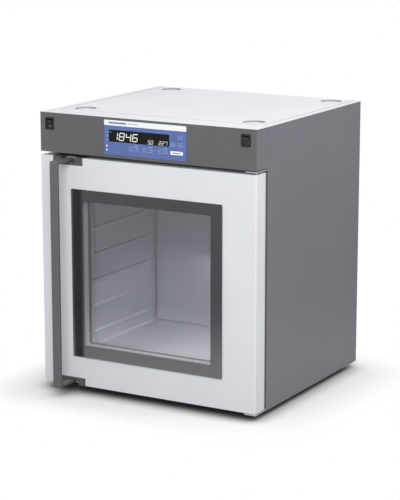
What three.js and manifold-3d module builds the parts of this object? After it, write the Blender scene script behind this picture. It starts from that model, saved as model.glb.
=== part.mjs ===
// Bench-top laboratory incubator with forced air and a glazed door.
// Millimetres, +Z up. The front faces -Y. The origin is on the floor, at the middle of the outer box.
import * as THREE from 'three';
import { mergeVertices } from 'three/addons/utils/BufferGeometryUtils.js';
import Module from 'manifold-3d';

const wasm = await Module();
wasm.setup();

// Outer sizes
const WIDTH = 710;
const DEPTH = 666;
const HEIGHT = 827;
const FOOT_HEIGHT = 15;
const HANDLE_REACH = 67;
const PIPE_REACH = 33;
const HALF = WIDTH / 2;

// Sheet thicknesses and the clearance kept between touching pieces
const SHEET = 1.5;
const COVER_SHEET = 1.1;
const LINER = 1.2;
const GAP = 0.4;

// The seam between the top frame and the top cover
const SEAM_X = 333;
const SEAM_Y = 82;
const SEAM_WIDTH = 2;

// Control head, above the door
const HEAD_DEPTH = 65;
const HEAD_BOTTOM = 712;
const HEAD_TOP = HEIGHT - SHEET - GAP;

// Door
const DOOR_BOTTOM = 22;
const DOOR_TOP = 701;
const DOOR_DEPTH = 56;
const DOOR_MIDDLE = (DOOR_BOTTOM + DOOR_TOP) / 2;
const SKIN_DEPTH = 52;
const HINGE_X = HALF - 15;
const HINGE_Y = DOOR_DEPTH / 2;
const HINGE_PIN_RADIUS = 4;
const HINGE_PLATE = 3.5;
const HINGE_PLATE_WIDTH = 36;
const HINGE_TOP_PLATE = 706;
const HINGE_BOTTOM_PLATE = 17;
const HINGE_PIN_REACH = 17;

// Window in the door
const WINDOW_X = 0;
const WINDOW_Z = 360.7;
const BORDER_WIDTH = 499;
const BORDER_HEIGHT = 500;
const BORDER_FRONT = -4.2;
const CLEAR_WIDTH = 426;
const CLEAR_HEIGHT = 430.5;
const PANE_THICKNESS = 4;
const OUTER_PANE_Y = SHEET + GAP;
const TUNNEL_Y = OUTER_PANE_Y + PANE_THICKNESS + GAP;
const TUNNEL_WALL = 6;
const INSULATION_Y = 9.2;
const SEAL_Y = 28;
const INNER_PANE_Y = 32;
const COLLAR_Y = 45.5;

// Heated chamber
const CHAMBER_HALF = 275;
const CHAMBER_FLOOR = 102;
const CHAMBER_TOP = 619;
const CHAMBER_MIDDLE = (CHAMBER_FLOOR + CHAMBER_TOP) / 2;
const CHAMBER_FRONT = 66.9;
const BAFFLE_Y = 513;
const CHAMBER_BACK = 560;
const RIDGE_FIRST = 142;
const RIDGE_PITCH = 80.25;
const RIDGE_COUNT = 6;
const RIDGE_HEIGHT = 4;
const RIDGE_START = 100;
const RIDGE_END = 453;

// Fan, heater and exhaust, behind the air baffle
const FAN_Z = 505;
const FAN_RADIUS = 50;
const HEATER_RADIUS = 68;
const HEATER_Y = 538;
const HEATER_TUBE = 4;
const TERMINAL_X = 14;
const TERMINAL_Z = FAN_Z - Math.sqrt(HEATER_RADIUS ** 2 - TERMINAL_X ** 2);
const SHAFT_RADIUS = 4;
const PIPE_X = -180;
const PIPE_Z = 585;
const PIPE_RADIUS = 25;
const PIPE_BORE = 22;
const DAMPER_Y = 681;
const PROBES = [[-238, 398], [-233, 313]];
const PROBE_RADIUS = 3;
const INSULATION_BACK = [563, 618];

// Electronics above the chamber
const DECK_Z = 708;

// Control panel
const FOIL = [-135, 135, 721, 820];
const DISPLAY = [-119, 79.5, 758.5, 792];
const FOIL_FRONT = -1.1;
const BOARD_Y = 6;
const KEY_TRAVEL_ROOM = 0.6;
const LOWER_KEY = [33, 12];
const SIDE_KEY = [17, 12];
const KEYS = [
  ['key_lower_left', -36.7, 742.6, LOWER_KEY],
  ['key_lower_middle', 9.1, 742.6, LOWER_KEY],
  ['key_lower_right', 57.9, 742.6, LOWER_KEY],
  ['key_side_top', 115.5, 786, SIDE_KEY],
  ['key_side_left', 91.5, 765, SIDE_KEY],
  ['key_side_right', 115.5, 765, SIDE_KEY],
];

// Rocker switches
const SWITCH_X = 321.5;
const SWITCH_Z = 795;
const SWITCH_WIDTH = 30;
const SWITCH_HEIGHT = 36;
const ROCKER_AXIS_Y = 5;
const ROCKER_TILT = THREE.MathUtils.degToRad(10);

// Handle and its latch, at the door's left edge
const HANDLE_LEFT = -279.5;
const HANDLE_WIDTH = 26.5;
const HANDLE_THICKNESS = 9;
const HANDLE_TOP = 697;
const HANDLE_BEND = 4;
const HANDLE_CORNER = 5;
const BLOCK = [-312, -211.5];
const BLOCK_HEIGHT = 23;
const BLOCK_DEPTH = 50;
const BLOCK_TOP = 702;
const POCKET = [-287, -235];
const POCKET_FLOOR = 687.5;
const LUG_CAVITY_TOP = 700.9;
const HANDLE_PIVOT_X = -224;
const HANDLE_PIVOT_Y = 24;
const HANDLE_PIN_RADIUS = 3;
const CLAW_BOTTOM = 697.4;
const CLAW_TOP = 700.4;
const CLAW_LEFT = -279;
const CLAW_SHANK = 12;
const ROLLER_X = -251;
const ROLLER_Y = 74;
const ROLLER_RADIUS = 4;
const ROLLER_BOTTOM = 691;
const ROLLER_TOP = 704.5;

// Feet, and the stacking recesses above them
const FOOT_X = 279;
const FOOT_FRONT_Y = 125;
const FOOT_BACK_Y = 617;
const FOOT_RADIUS = 28;
const RECESS_RADIUS = 32;
const RECESS_DEPTH = 5;

// Mains inlet, at the back
const INLET_X = 250;
const INLET_Z = 760;

// Finishes: colour, roughness, metalness
const FINISHES = {
  white: [0xe4e5e9, 0.45, 0],
  grey: [0x77777a, 0.5, 0],
  darkGrey: [0x58585b, 0.55, 0],
  black: [0x1c1c1e, 0.4, 0],
  blue: [0x5f74b4, 0.5, 0],
  steel: [0xb9babd, 0.3, 1],
  zinc: [0x9ea0a3, 0.45, 0.8],
  whiteMetal: [0xc8c9cc, 0.4, 0.2],
  glass: [0xcfd6da, 0.05, 0],
  border: [0x3d3e41, 0.1, 0],
  rubber: [0x2b2b2d, 0.8, 0],
  wool: [0xcbb98e, 0.95, 0],
  board: [0x2f5d3a, 0.6, 0],
};

// ---------- geometry helpers ----------

function toSolid(geometry) {
  const bare = geometry.clone();
  bare.deleteAttribute('normal');
  bare.deleteAttribute('uv');
  const merged = mergeVertices(bare, 1e-4);
  return new wasm.Manifold(new wasm.Mesh({
    numProp: 3,
    vertProperties: new Float32Array(merged.attributes.position.array),
    triVerts: new Uint32Array(merged.index.array),
  }));
}

function toGeometry(solid) {
  const mesh = solid.getMesh();
  const geometry = new THREE.BufferGeometry();
  geometry.setAttribute('position', new THREE.BufferAttribute(mesh.vertProperties, 3));
  geometry.setIndex(new THREE.BufferAttribute(mesh.triVerts, 1));
  geometry.computeVertexNormals();
  return geometry;
}

function box(x0, x1, y0, y1, z0, z1) {
  const geometry = new THREE.BoxGeometry(x1 - x0, y1 - y0, z1 - z0);
  geometry.translate((x0 + x1) / 2, (y0 + y1) / 2, (z0 + z1) / 2);
  return toSolid(geometry);
}

// A round bar along 'x', 'y' or 'z', through the given point, from low to high on that axis.
function bar(axis, [x, y, z], radius, low, high, segments = 24) {
  const geometry = new THREE.CylinderGeometry(radius, radius, high - low, segments);
  const middle = (low + high) / 2;
  if (axis === 'x') {
    geometry.rotateZ(-Math.PI / 2);
    geometry.translate(middle, y, z);
  } else if (axis === 'y') {
    geometry.translate(x, middle, z);
  } else {
    geometry.rotateX(Math.PI / 2);
    geometry.translate(x, y, middle);
  }
  return toSolid(geometry);
}

// The basis that stands a drawn shape up: drawn in YZ for 'x', in XZ for 'y', in XY for 'z'.
const BASES = {
  x: [[0, 1, 0], [0, 0, 1], [1, 0, 0]],
  y: [[1, 0, 0], [0, 0, 1], [0, -1, 0]],
  z: [[1, 0, 0], [0, 1, 0], [0, 0, 1]],
};

function prism(axis, shape, low, high, curveSegments = 2) {
  const geometry = new THREE.ExtrudeGeometry(shape, {
    depth: high - low,
    bevelEnabled: false,
    curveSegments,
    steps: 1,
  });
  const basis = BASES[axis].map((column) => new THREE.Vector3(...column));
  geometry.applyMatrix4(new THREE.Matrix4().makeBasis(...basis));
  if (axis === 'x') geometry.translate(low, 0, 0);
  if (axis === 'y') geometry.translate(0, high, 0);
  if (axis === 'z') geometry.translate(0, 0, low);
  return toSolid(geometry);
}

function outline(points) {
  return new THREE.Shape(points.map(([u, v]) => new THREE.Vector2(u, v)));
}

function roundedRectangle(u0, u1, v0, v1, radius) {
  const shape = new THREE.Shape();
  shape.absarc(u1 - radius, v0 + radius, radius, -Math.PI / 2, 0, false);
  shape.absarc(u1 - radius, v1 - radius, radius, 0, Math.PI / 2, false);
  shape.absarc(u0 + radius, v1 - radius, radius, Math.PI / 2, Math.PI, false);
  shape.absarc(u0 + radius, v0 + radius, radius, Math.PI, 1.5 * Math.PI, false);
  return shape;
}

// An upright slab around (u, v), facing front, between two depths.
function slab(u, v, width, height, y0, y1, radius = 4, curveSegments = 2) {
  const du = width / 2;
  const dv = height / 2;
  return prism('y', roundedRectangle(u - du, u + du, v - dv, v + dv, radius), y0, y1, curveSegments);
}

function union(solids) {
  return solids.reduce((whole, next) => whole.add(next));
}

function cut(solid, tools) {
  return tools.reduce((left, tool) => left.subtract(tool), solid);
}

function mirrorDoor(solid) {
  return solid.mirror([0, 0, 1]).translate([0, 0, 2 * DOOR_MIDDLE]);
}

// ---------- the assembly ----------

const incubator = new THREE.Group();
incubator.position.y = -(DEPTH + PIPE_REACH - HANDLE_REACH) / 2;

function add(name, solid, finish) {
  const [color, roughness, metalness] = FINISHES[finish];
  const material = new THREE.MeshStandardMaterial({ color, roughness, metalness });
  if (finish === 'glass') {
    material.transparent = true;
    material.opacity = 0.35;
  }
  const mesh = new THREE.Mesh(toGeometry(solid), material);
  mesh.name = name;
  incubator.add(mesh);
}

// ---------- cabinet shell ----------

function footSolid(x, y) {
  const profile = [[0, 0], [FOOT_RADIUS - 3, 0], [FOOT_RADIUS, 2], [FOOT_RADIUS, 9],
    [FOOT_RADIUS - 8, FOOT_HEIGHT], [0, FOOT_HEIGHT]];
  const points = profile.map(([r, z]) => new THREE.Vector2(r, z));
  const geometry = new THREE.LatheGeometry(points, 24);
  geometry.rotateX(Math.PI / 2);
  geometry.translate(x, y, 0);
  return toSolid(geometry);
}

function basePlate() {
  const bottom = FOOT_HEIGHT + GAP;
  const edge = HALF - SHEET - 0.5;
  const flange = 20;
  const shape = outline([
    [-edge, bottom], [edge, bottom], [edge, bottom + flange], [edge - SHEET, bottom + flange],
    [edge - SHEET, bottom + SHEET], [SHEET - edge, bottom + SHEET],
    [SHEET - edge, bottom + flange], [-edge, bottom + flange],
  ]);
  return prism('y', shape, CHAMBER_FRONT + 0.5, DEPTH - 2 * SHEET - 1);
}

function sidePanel(side) {
  const front = HEAD_DEPTH + GAP;
  const back = DEPTH - SHEET - GAP;
  const lip = HALF - 12;
  const points = [
    [HALF, front], [HALF, back], [lip, back], [lip, back - SHEET], [HALF - SHEET, back - SHEET],
    [HALF - SHEET, front + SHEET], [lip, front + SHEET], [lip, front],
  ];
  const shape = outline(points.map(([x, y]) => [side * x, y]));
  return prism('z', shape, FOOT_HEIGHT + GAP, HEAD_TOP);
}

function topFrame() {
  const ledge = 7;
  const under = HEIGHT - SHEET;
  const rim = box(-HALF, HALF, SHEET + GAP, DEPTH, under, HEIGHT);
  const opening = box(-SEAM_X, SEAM_X, SEAM_Y, DEPTH + 1, under - 1, HEIGHT + 1);
  const lipBottom = under - GAP - LINER;
  const overlap = 4;
  const lip = box(-SEAM_X - overlap, SEAM_X + overlap, SEAM_Y - overlap, DEPTH - 6, lipBottom, under);
  const inner = SEAM_X - ledge;
  const lipOpening = box(-inner, inner, SEAM_Y + ledge, DEPTH, lipBottom - 1, HEIGHT);
  const step = box(-SEAM_X, SEAM_X, SEAM_Y, DEPTH, lipBottom + LINER, HEIGHT);
  return rim.subtract(opening).add(cut(lip, [lipOpening, step]));
}

function topCover() {
  const edge = SEAM_X - SEAM_WIDTH;
  const plate = box(-edge, edge, SEAM_Y + SEAM_WIDTH, DEPTH - 0.5, HEIGHT - COVER_SHEET, HEIGHT);
  const cups = [];
  const pockets = [];
  for (const x of [-FOOT_X, FOOT_X]) {
    for (const y of [FOOT_FRONT_Y, FOOT_BACK_Y]) {
      const floor = HEIGHT - RECESS_DEPTH;
      cups.push(bar('z', [x, y, 0], RECESS_RADIUS + SHEET, floor - SHEET, HEIGHT, 32));
      pockets.push(bar('z', [x, y, 0], RECESS_RADIUS, floor, HEIGHT + 1, 32));
    }
  }
  return cut(union([plate, ...cups]), pockets);
}

function rearCover() {
  const edge = HALF - 0.5;
  const plate = box(-edge, edge, DEPTH - SHEET, DEPTH, FOOT_HEIGHT + 2, HEAD_TOP);
  const holes = [
    bar('y', [PIPE_X, 0, PIPE_Z], PIPE_RADIUS + 0.6, DEPTH - 9, DEPTH + 9, 32),
    box(INLET_X - 16, INLET_X + 16, DEPTH - 9, DEPTH + 9, INLET_Z - 13.5, INLET_Z + 13.5),
  ];
  for (let row = 0; row < 7; row += 1) {
    const fanZ = FAN_Z - 36 + 12 * row;
    holes.push(slab(0, fanZ, 70, 5, DEPTH - 9, DEPTH + 9, 2.4, 1));
    holes.push(slab(0, 736 + 10 * row, 160, 4, DEPTH - 9, DEPTH + 9, 1.9, 1));
  }
  return cut(plate, holes);
}

function clawSlot(y0, y1) {
  return box(-296, -246, y0, y1, 694.5, 703.5);
}

function frontFrame() {
  const y0 = HEAD_DEPTH + GAP;
  const plate = box(-342.6, 342.6, y0, CHAMBER_FRONT - GAP, FOOT_HEIGHT + GAP, 822);
  const opening = box(-CHAMBER_HALF, CHAMBER_HALF, 60, 70, CHAMBER_FLOOR, CHAMBER_TOP);
  const cablePort = slab(0, 770, 200, 50, 60, 70, 6);
  return cut(plate, [opening, cablePort, clawSlot(60, 70), mirrorDoor(clawSlot(60, 70))]);
}

function electronicsDeck() {
  return box(-340, 340, CHAMBER_FRONT + 0.5, DEPTH - 14, DECK_Z, DECK_Z + SHEET);
}

// A roller between two ears of a bracket behind the frame.
function latchStriker() {
  const half = 6;
  const back = 86;
  const low = ROLLER_BOTTOM - 2;
  const high = ROLLER_TOP + 1.2;
  const roller = bar('z', [ROLLER_X, ROLLER_Y, 0], ROLLER_RADIUS, ROLLER_BOTTOM, ROLLER_TOP, 20);
  const ears = [[low, ROLLER_BOTTOM], [ROLLER_TOP - 0.01, high]].map(([z0, z1]) => (
    box(ROLLER_X - half, ROLLER_X + half, CHAMBER_FRONT, back, z0, z1)));
  const web = box(ROLLER_X - half, ROLLER_X + half, back - 2, back, low, high);
  return union([roller, ...ears, web]);
}

// A plate that reaches over or under the door's corner, with a flange on the frame and the hinge pin.
function hingeBracket(plateLow, pinEnd) {
  const left = HALF - HINGE_PLATE_WIDTH;
  const shape = roundedRectangle(left, HALF, 1, HEAD_DEPTH, 2.5);
  const plate = prism('z', shape, plateLow, plateLow + HINGE_PLATE);
  const flange = box(left, left + 22, HEAD_DEPTH - 3, HEAD_DEPTH, plateLow, plateLow + 28);
  const ends = [plateLow + HINGE_PLATE / 2, pinEnd].sort((a, b) => a - b);
  const pin = bar('z', [HINGE_X, HINGE_Y, 0], HINGE_PIN_RADIUS, ...ends, 24);
  return union([plate, flange, pin]);
}

// ---------- chamber ----------

function chamberShell() {
  const side = CHAMBER_HALF - GAP;
  const back = CHAMBER_BACK + LINER;
  const outer = box(-side, side, CHAMBER_FRONT, back, CHAMBER_FLOOR - LINER, CHAMBER_TOP + LINER);
  const inner = box(-300, 300, 60, CHAMBER_BACK, CHAMBER_FLOOR, CHAMBER_TOP);
  return cut(outer, [inner, ...backWallHoles(CHAMBER_BACK - 2, CHAMBER_BACK + 4)]);
}

function backWallHoles(y0, y1) {
  return [
    bar('y', [PIPE_X, 0, PIPE_Z], PIPE_RADIUS + 0.6, y0, y1, 24),
    bar('y', [0, 0, FAN_Z], 8, y0, y1, 16),
    ...PROBES.map(([x, z]) => bar('y', [x, 0, z], PROBE_RADIUS + 0.8, y0, y1, 10)),
    ...[-TERMINAL_X, TERMINAL_X].map((x) => (
      bar('y', [x, 0, TERMINAL_Z], HEATER_TUBE + 1, y0, y1, 10))),
  ];
}

function chamberWall(side) {
  const inside = CHAMBER_HALF;
  const outside = CHAMBER_HALF + LINER;
  const ends = [side * inside, side * outside].sort((a, b) => a - b);
  const back = CHAMBER_BACK + LINER;
  const wall = box(...ends, CHAMBER_FRONT, back, CHAMBER_FLOOR - LINER, CHAMBER_TOP + LINER);
  const ridges = [];
  for (let level = 0; level < RIDGE_COUNT; level += 1) {
    const z = RIDGE_FIRST + level * RIDGE_PITCH;
    const root = inside + LINER / 2;
    const crest = inside - RIDGE_HEIGHT;
    const points = [[root, z - 6.5], [inside, z - 6.5], [crest, z - 3],
      [crest, z + 3], [inside, z + 6.5], [root, z + 6.5]];
    ridges.push(prism('y', outline(points.map(([x, v]) => [side * x, v])), RIDGE_START, RIDGE_END));
  }
  return union([wall, ...ridges]);
}

function airBaffle() {
  const margin = 2;
  const half = CHAMBER_HALF - margin;
  const top = CHAMBER_TOP - margin;
  const plate = box(-half, half, BAFFLE_Y, BAFFLE_Y + LINER, CHAMBER_FLOOR + margin, top);
  const slots = [];
  const reach = 52;
  for (let column = -4; column <= 4; column += 1) {
    const x = column * 12;
    const length = 2 * Math.sqrt(reach * reach - x * x);
    slots.push(slab(x, FAN_Z, 6, length, BAFFLE_Y - 2, BAFFLE_Y + 4, 2.9, 1));
  }
  const holes = PROBES.map(([x, z]) => (
    bar('y', [x, 0, z], PROBE_RADIUS + 0.8, BAFFLE_Y - 2, BAFFLE_Y + 4, 12)));
  const legs = [];
  for (const x of [-half, half - 12]) {
    for (const z of [CHAMBER_FLOOR + 20, CHAMBER_TOP - 60]) {
      legs.push(box(x, x + 12, BAFFLE_Y, CHAMBER_BACK - GAP, z, z + 20));
    }
  }
  return cut(union([plate, ...legs]), [...slots, ...holes]);
}

class RingPath extends THREE.Curve {
  constructor(radius, opening) {
    super();
    this.radius = radius;
    this.opening = opening;
  }

  getPoint(t, target = new THREE.Vector3()) {
    const angle = -Math.PI / 2 + this.opening + t * 2 * (Math.PI - this.opening);
    const x = this.radius * Math.cos(angle);
    const z = this.radius * Math.sin(angle);
    return target.set(x, HEATER_Y, FAN_Z + z);
  }
}

function heaterCoil() {
  const opening = Math.asin(TERMINAL_X / HEATER_RADIUS);
  const section = new THREE.Shape();
  section.absarc(0, 0, HEATER_TUBE, 0, 2 * Math.PI, false);
  const ring = toSolid(new THREE.ExtrudeGeometry(section, {
    steps: 32,
    curveSegments: 4,
    extrudePath: new RingPath(HEATER_RADIUS, opening),
  }));
  const legs = [-TERMINAL_X, TERMINAL_X].map((x) => (
    bar('y', [x, 0, TERMINAL_Z], HEATER_TUBE - 0.4, HEATER_Y - 2, 606, 12)));
  return union([ring, ...legs]);
}

function temperatureProbes() {
  const rods = PROBES.map(([x, z]) => bar('y', [x, 0, z], PROBE_RADIUS, 503, 622, 16));
  const [[, upper], [, lower]] = PROBES;
  const holder = box(-250, -220, 620, 623, lower - 12, upper + 12);
  return union([...rods, holder]);
}

function fanWheel() {
  const plate = bar('y', [0, 0, FAN_Z], FAN_RADIUS, 549, 551, 32);
  const hub = bar('y', [0, 0, FAN_Z], 10, 530, 551, 16);
  const shaft = bar('y', [0, 0, FAN_Z], SHAFT_RADIUS, 528, 628, 16);
  const count = 12;
  const blades = [];
  for (let index = 0; index < count; index += 1) {
    const blade = box(20, FAN_RADIUS - 0.5, 526, 549.5, -1, 1);
    blades.push(blade.rotate([0, (360 / count) * index, 0]).translate([0, 0, FAN_Z]));
  }
  return union([plate, hub, shaft, ...blades]);
}

function fanMotor() {
  const flange = slab(0, FAN_Z, 96, 96, 620, 623, 10);
  const body = bar('y', [0, 0, FAN_Z], 38, 622, 655, 32);
  const bore = bar('y', [0, 0, FAN_Z], SHAFT_RADIUS + 0.6, 610, 631, 16);
  return flange.add(body).subtract(bore);
}

function insulationWrap() {
  const side = HALF - SHEET - 2;
  const bottom = FOOT_HEIGHT + 25;
  const top = DECK_Z - 1;
  const y0 = 96;
  const outer = box(-side, side, y0, INSULATION_BACK[0] - 1, bottom, top);
  const hollow = CHAMBER_HALF + LINER + 1;
  const low = CHAMBER_FLOOR - LINER - 1;
  const inner = box(-hollow, hollow, y0 - 9, DEPTH, low, CHAMBER_TOP + LINER + 1);
  return outer.subtract(inner);
}

function insulationBack() {
  const side = HALF - SHEET - 2;
  const [y0, y1] = INSULATION_BACK;
  const block = box(-side, side, y0, y1, FOOT_HEIGHT + 25, DECK_Z - 1);
  return cut(block, backWallHoles(y0 - 2, y1 + 2));
}

function exhaustPipe() {
  const end = DEPTH + PIPE_REACH;
  const centre = [PIPE_X, 0, PIPE_Z];
  const tube = bar('y', centre, PIPE_RADIUS, CHAMBER_BACK + LINER + 1, end, 32);
  const collar = bar('y', centre, PIPE_RADIUS + 10, DEPTH + GAP, DEPTH + 2.4, 32);
  const bore = bar('y', centre, PIPE_BORE, CHAMBER_BACK, end + 1, 32);
  const spindleHole = bar('z', [PIPE_X, DAMPER_Y, 0], 2.5, PIPE_Z - 40, PIPE_Z + 40, 16);
  return cut(tube.add(collar), [bore, spindleHole]);
}

function ventDamper() {
  const disc = bar('y', [PIPE_X, 0, PIPE_Z], PIPE_BORE - 0.6, DAMPER_Y - 0.8, DAMPER_Y + 0.8, 32);
  const spindle = bar('z', [PIPE_X, DAMPER_Y, 0], 2, PIPE_Z - 25, PIPE_Z + 36, 16);
  const reach = 9;
  const shape = roundedRectangle(PIPE_X - reach, PIPE_X + reach, DAMPER_Y - 4, DAMPER_Y + 4, 3.9);
  const lever = prism('z', shape, PIPE_Z + 29, PIPE_Z + 37);
  return union([disc, spindle, lever]);
}

// ---------- control head ----------

function keyOpening([, x, z, [width, height]], margin, y0, y1) {
  return slab(x, z, width + 2 * margin, height + 2 * margin, y0, y1, 2.5);
}

function headShell() {
  const body = box(-HALF, HALF, 0, HEAD_DEPTH - GAP, HEAD_BOTTOM, HEAD_TOP);
  const outer = body.add(box(-HALF, HALF, 0, SHEET, HEAD_BOTTOM, HEIGHT - GAP));
  const edge = HALF - SHEET;
  const inner = box(-edge, edge, SHEET, 80, HEAD_BOTTOM + SHEET, HEIGHT + 5);
  const hingeSlot = box(317, 343, 57, 70, HEAD_BOTTOM - 1, HEAD_BOTTOM + 3);
  const [x0, x1, z0, z1] = DISPLAY;
  const displayHole = box(x0 - 0.6, x1 + 0.6, -1, 3, z0 - 0.6, z1 + 0.6);
  const stems = KEYS.map(([, x, z]) => bar('y', [x, 0, z], 2.6, -1, 3, 12));
  const switches = [-SWITCH_X, SWITCH_X].map((x) => (
    slab(x, SWITCH_Z, SWITCH_WIDTH - 3, SWITCH_HEIGHT - 3, -1, 3, 1)));
  return cut(outer, [inner, hingeSlot, displayHole, ...stems, ...switches]);
}

function controlFoil() {
  const [x0, x1, z0, z1] = FOIL;
  const sheet = prism('y', roundedRectangle(x0, x1, z0, z1, 2.5), FOIL_FRONT, -GAP);
  const [u0, u1, v0, v1] = DISPLAY;
  const window = box(u0 - GAP, u1 + GAP, -2, 1, v0 - GAP, v1 + GAP);
  return cut(sheet, [window, ...KEYS.map((key) => keyOpening(key, GAP, -2, 1))]);
}

function displayWindow() {
  const [x0, x1, z0, z1] = DISPLAY;
  return box(x0, x1, FOIL_FRONT, 2, z0, z1);
}

function controlKey(key) {
  const [, x, z] = key;
  const cap = keyOpening(key, 0, FOIL_FRONT - 0.3, -KEY_TRAVEL_ROOM);
  const stem = bar('y', [x, 0, z], 1.8, -0.8, BOARD_Y - 1, 12);
  return cap.add(stem);
}

function displayBoard() {
  const board = box(-128, 130, BOARD_Y, BOARD_Y + 1.6, 731, 813);
  const [x0, x1, z0, z1] = DISPLAY;
  const module = box(x0 + 3, x1 - 3, 2 + GAP, BOARD_Y + 0.1, z0 + 3, z1 - 3);
  const posts = [];
  for (const x of [-123, 125]) {
    for (const z of [735, 809]) {
      posts.push(bar('y', [x, 0, z], 3, SHEET + GAP, BOARD_Y + 0.5, 10));
    }
  }
  const chip = box(-30, 0, BOARD_Y + 1, BOARD_Y + 4, 745, 770);
  return union([board, module, chip, ...posts]);
}

function powerBoard() {
  const z = DECK_Z + 8;
  const board = box(60, 300, 200, 400, z, z + 1.6);
  const transformer = box(80, 140, 220, 280, z + 1, z + 48);
  const relay = box(170, 198, 220, 250, z + 1, z + 22);
  const heatSink = box(220, 290, 220, 250, z + 1, z + 40);
  const capacitors = [300, 330, 360].map((y) => bar('z', [110, y, 0], 11, z + 1, z + 32, 16));
  const posts = [];
  for (const x of [68, 292]) {
    for (const y of [208, 392]) {
      posts.push(bar('z', [x, y, 0], 4, DECK_Z + SHEET + GAP, z + 0.5, 10));
    }
  }
  return union([board, transformer, relay, heatSink, ...capacitors, ...posts]);
}

function switchBezel(x, radius) {
  const rim = slab(x, SWITCH_Z, SWITCH_WIDTH, SWITCH_HEIGHT, -2, -GAP, radius);
  const body = slab(x, SWITCH_Z, SWITCH_WIDTH - 4, SWITCH_HEIGHT - 4, -1, 18, 1);
  const opening = box(x - 10, x + 10, -5, 16, SWITCH_Z - 13, SWITCH_Z + 13);
  return rim.add(body).subtract(opening);
}

function rocker(x) {
  const profile = [[-7.5, 11.5], [-5.5, 0], [-7.5, -11.5], [3, -7], [3, 7]];
  const cos = Math.cos(ROCKER_TILT);
  const sin = Math.sin(ROCKER_TILT);
  const points = profile.map(([y, z]) => (
    [ROCKER_AXIS_Y + y * cos - z * sin, SWITCH_Z + y * sin + z * cos]));
  return prism('x', outline(points), x - 9.6, x + 9.6);
}

function mainsInlet() {
  const flange = slab(INLET_X, INLET_Z, 50, 33, DEPTH + GAP, DEPTH + 3, 4);
  const half = 15.5;
  const body = box(INLET_X - half, INLET_X + half, DEPTH - 22, DEPTH + 1, INLET_Z - 13, INLET_Z + 13);
  const socket = slab(INLET_X, INLET_Z, 24, 17, DEPTH - 18, DEPTH + 5, 3);
  const blades = [[-7, -2.5], [7, -2.5], [0, 3]].map(([dx, dz]) => {
    const x = INLET_X + dx;
    const z = INLET_Z + dz;
    return box(x - 1, x + 1, DEPTH - 19, DEPTH - 6, z - 2, z + 2);
  });
  return union([cut(flange.add(body), [socket]), ...blades]);
}

// ---------- door ----------

function blockNotch() {
  const [x0, x1] = BLOCK;
  return box(x0 - GAP, x1 + GAP, -1, 60, BLOCK_TOP - BLOCK_HEIGHT - GAP, BLOCK_TOP + 3);
}

function doorOuterSkin() {
  const corner = 5;
  const plan = new THREE.Shape();
  plan.moveTo(HALF, SKIN_DEPTH);
  plan.lineTo(-HALF, SKIN_DEPTH);
  plan.absarc(corner - HALF, corner, corner, Math.PI, 1.5 * Math.PI, false);
  plan.absarc(HALF - corner, corner, corner, 1.5 * Math.PI, 2 * Math.PI, false);
  const outer = prism('z', plan, DOOR_BOTTOM, DOOR_TOP);
  const edge = HALF - SHEET;
  const inner = box(-edge, edge, SHEET, 80, DOOR_BOTTOM + SHEET, DOOR_TOP - SHEET);
  const opening = slab(WINDOW_X, WINDOW_Z, CLEAR_WIDTH + 8, CLEAR_HEIGHT + 8, -1, 3, 6);
  const bushHole = bar('z', [HINGE_X, HINGE_Y, 0], 8.5, DOOR_BOTTOM - 1, DOOR_TOP + 1, 24);
  return cut(outer, [inner, opening, bushHole, blockNotch(), mirrorDoor(blockNotch())]);
}

// A ring round the clear part of the window.
function windowRing(border, y0, y1) {
  const width = CLEAR_WIDTH + 2 * border;
  const ring = slab(WINDOW_X, WINDOW_Z, width, CLEAR_HEIGHT + 2 * border, y0, y1, 6);
  return ring.subtract(slab(WINDOW_X, WINDOW_Z, CLEAR_WIDTH, CLEAR_HEIGHT, y0 - 1, y1 + 1, 3));
}

// The dark frame that stands proud of the skin and hides the edge of its opening.
function windowBorder() {
  const back = -GAP;
  const frame = slab(WINDOW_X, WINDOW_Z, BORDER_WIDTH, BORDER_HEIGHT, BORDER_FRONT, back, 3);
  const hole = slab(WINDOW_X, WINDOW_Z, CLEAR_WIDTH, CLEAR_HEIGHT, BORDER_FRONT - 1, back + 1, 3);
  return frame.subtract(hole);
}

function doorInnerSkin() {
  const edge = HALF - GAP;
  const z0 = DOOR_BOTTOM + GAP;
  const z1 = DOOR_TOP - GAP;
  const back = DOOR_DEPTH - SHEET;
  const pan = box(-edge, edge, SKIN_DEPTH + GAP, DOOR_DEPTH, z0, z1);
  const dish = box(SHEET - edge, edge - SHEET, 40, back, z0 + SHEET, z1 - SHEET);
  const collar = windowRing(LINER, COLLAR_Y, DOOR_DEPTH);
  const opening = slab(WINDOW_X, WINDOW_Z, CLEAR_WIDTH, CLEAR_HEIGHT, 40, 60, 3);
  const slot = clawSlot(40, 60);
  return cut(union([pan.subtract(dish), collar]), [opening, slot, mirrorDoor(slot)]);
}

function doorInsulation() {
  const edge = HALF - 4;
  const inset = 25;
  const block = box(-edge, edge, INSULATION_Y, SKIN_DEPTH, DOOR_BOTTOM + inset, DOOR_TOP - inset);
  return block.subtract(slab(WINDOW_X, WINDOW_Z, CLEAR_WIDTH + 22, CLEAR_HEIGHT + 22, 0, 60, 8));
}

function windowPane(width, height, y0) {
  return slab(WINDOW_X, WINDOW_Z, width, height, y0, y0 + PANE_THICKNESS, 6);
}

function paneSeal() {
  const ring = windowRing(9, SEAL_Y, COLLAR_Y - GAP);
  const groove = slab(WINDOW_X, WINDOW_Z, CLEAR_WIDTH + 13, CLEAR_HEIGHT + 13,
    INNER_PANE_Y - GAP, INNER_PANE_Y + PANE_THICKNESS + GAP, 6);
  return ring.subtract(groove);
}

function doorSeal() {
  const y0 = DOOR_DEPTH + GAP;
  const y1 = HEAD_DEPTH - GAP;
  const outer = slab(0, CHAMBER_MIDDLE, 592, 558, y0, y1, 22);
  return outer.subtract(slab(0, CHAMBER_MIDDLE, 562, 528, y0 - 1, y1 + 1, 10));
}

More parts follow.
